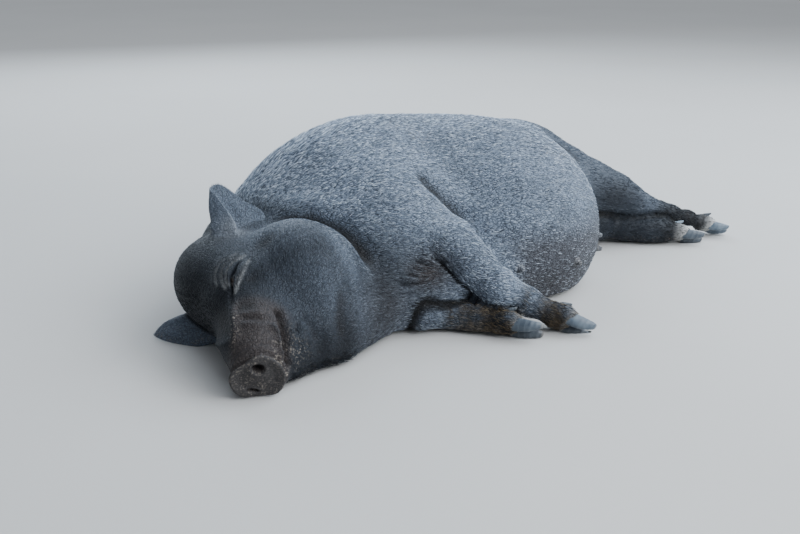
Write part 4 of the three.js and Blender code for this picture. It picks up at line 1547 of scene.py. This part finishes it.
def horn_material():
    material, tree, surface = new_material("horn")
    place = node(tree, "TexCoord").outputs["Object"]
    tip = mark_of(tree, "tip")
    clouds = node(tree, "TexNoise", Vector=place, Scale=70.0, Detail=4.0).outputs["Fac"]
    scratches = node(tree, "TexNoise", Vector=place, Scale=900.0, Detail=3.0, Roughness=0.7).outputs["Fac"]
    rings = sums(tree, "ADD", sums(tree, "MULTIPLY", clouds, 6.0), sums(tree, "MULTIPLY", tip, 34.0))
    bands = sums(tree, "SINE", rings)
    # The pale side is a blue-grey that stands partly for painted sheen on the lit upper claws; the claw's
    # mark picks between dark and pale.
    dark = mixed(tree, between(tree, clouds, 0.35, 0.7), (0.016, 0.020, 0.026), (0.040, 0.048, 0.058))
    light = mixed(tree, between(tree, clouds, 0.35, 0.7), (0.10, 0.145, 0.195), (0.20, 0.26, 0.32))
    colour = mixed(tree, mark_of(tree, "tone_and_light"), dark, light)
    banded = sums(tree, "MULTIPLY", between(tree, bands, 0.2, 1.0), 0.12)
    colour = mixed(tree, banded, colour, (0.20, 0.225, 0.25))
    colour = mixed(tree, between(tree, tip, 0.17, 0.13), colour, (0.17, 0.165, 0.155))
    edge = sums(tree, "MULTIPLY", between(tree, tip, 0.93, 1.0), 0.4)
    colour = mixed(tree, edge, colour, (0.28, 0.26, 0.23))
    scratched = sums(tree, "MULTIPLY", between(tree, scratches, 0.6, 0.75), 0.2)
    colour = mixed(tree, scratched, colour, (0.32, 0.30, 0.27))
    height = sums(tree, "ADD", sums(tree, "MULTIPLY", bands, 0.25), sums(tree, "MULTIPLY", scratches, 0.4))
    bump = node(tree, "Bump", Strength=0.5, Distance=0.0005, Height=height).outputs["Normal"]
    tree.links.new(bump, surface.inputs["Normal"])
    tree.links.new(colour, surface.inputs["Base Color"])
    rough = mixed(tree, scratches, 0.28, 0.55, "FLOAT")
    tree.links.new(rough, surface.inputs["Roughness"])
    return material


def eye_material():
    material, tree, surface = new_material("eye")
    facing = mark_of(tree, "facing")
    colour = mixed(tree, between(tree, facing, 0.86, 0.93), (0.030, 0.018, 0.012), (0.004, 0.004, 0.005))
    colour = mixed(tree, between(tree, facing, 0.62, 0.5), colour, (0.16, 0.13, 0.12))
    tree.links.new(colour, surface.inputs["Base Color"])
    surface.inputs["Roughness"].default_value = 0.12
    surface.inputs["Coat Weight"].default_value = 0.6
    surface.inputs["Coat Roughness"].default_value = 0.05
    return material


def floor_material():
    material, tree, surface = new_material("studio floor")
    place = node(tree, "TexCoord").outputs["Object"]
    clouds = node(tree, "TexNoise", Vector=place, Scale=1.5, Detail=3.0).outputs["Fac"]
    colour = mixed(tree, clouds, (0.50, 0.485, 0.465), (0.55, 0.535, 0.515))
    tree.links.new(colour, surface.inputs["Base Color"])
    surface.inputs["Roughness"].default_value = 0.85
    return material


colours = hide_colours()
materials = {
    "hide": hide_material(colours, crease_net()),
    "coat": coat_material(colours),
    "horn": horn_material(),
    "eye": eye_material(),
    "floor": floor_material(),
}


# ------------------------------------------------------------------ the sow

skin, folds = make_skin()
shaded(skin)
skin.data.materials.clear()
skin.data.materials.append(materials["hide"])
# the fold mark is painted shade in the sculpted creases
give(skin.data, {**marks(drawing(co_of(skin.data))), "fold": folds})
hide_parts(*FLESH)
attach(skin, "root")
add_claws()
for eye_node, eye_place in EYES.items():
    add_eye(eye_node, eye_place)
grow_coat(skin)


# ------------------------------------------------------------------ studio

floor = bmesh.new()
bmesh.ops.create_grid(floor, size=30)
put("studio_floor", mesh_of(floor, "studio_floor"), materials["floor"])

world = bpy.data.worlds.new("studio")
bpy.context.scene.world = world
world.use_nodes = True
world.node_tree.nodes["Background"].inputs["Color"].default_value = (0.80, 0.88, 1.0, 1)
world.node_tree.nodes["Background"].inputs["Strength"].default_value = 0.36


def lamp(name, at, towards, size, power, colour):
    light = bpy.data.lights.new(name, "AREA")
    light.size = size
    light.energy = power
    light.color = colour
    holder = bpy.data.objects.new(name, light)
    holder.location = at
    holder.rotation_euler = (Vector(towards) - Vector(at)).to_track_quat("-Z", "Y").to_euler()
    bpy.context.scene.collection.objects.link(holder)


lamp("sky_softbox", (2.1, -0.7, 2.2), (0, 0, 0.15), 2.6, 125, (0.78, 0.89, 1.0))
lamp("back_softbox", (0.9, 2.5, 1.9), (0, 0, 0.2), 2.4, 85, (0.76, 0.88, 1.0))
lamp("front_fill", (0.5, -2.7, 1.5), (0, 0, 0.1), 2.0, 98, (0.90, 0.95, 1.0))

veil = bpy.data.lights.new("veil", "SUN")
veil.energy = 1.45
veil.angle = math.radians(70)
veil.color = (0.86, 0.93, 1.0)
veil_holder = bpy.data.objects.new("veil", veil)
veil_holder.rotation_euler = Vector((-0.25, 0.6, -1)).to_track_quat("-Z", "Y").to_euler()
bpy.context.scene.collection.objects.link(veil_holder)

camera = bpy.data.objects.new("camera", bpy.data.cameras.new("camera"))
bpy.context.scene.collection.objects.link(camera)
camera.location = Vector(row((-1200.2, -1290.4, 568.5)))
camera.rotation_euler = Vector((0.6130, 0.7306, -0.3007)).to_track_quat("-Z", "Y").to_euler()
camera.data.lens = 49.5
bpy.context.scene.camera = camera
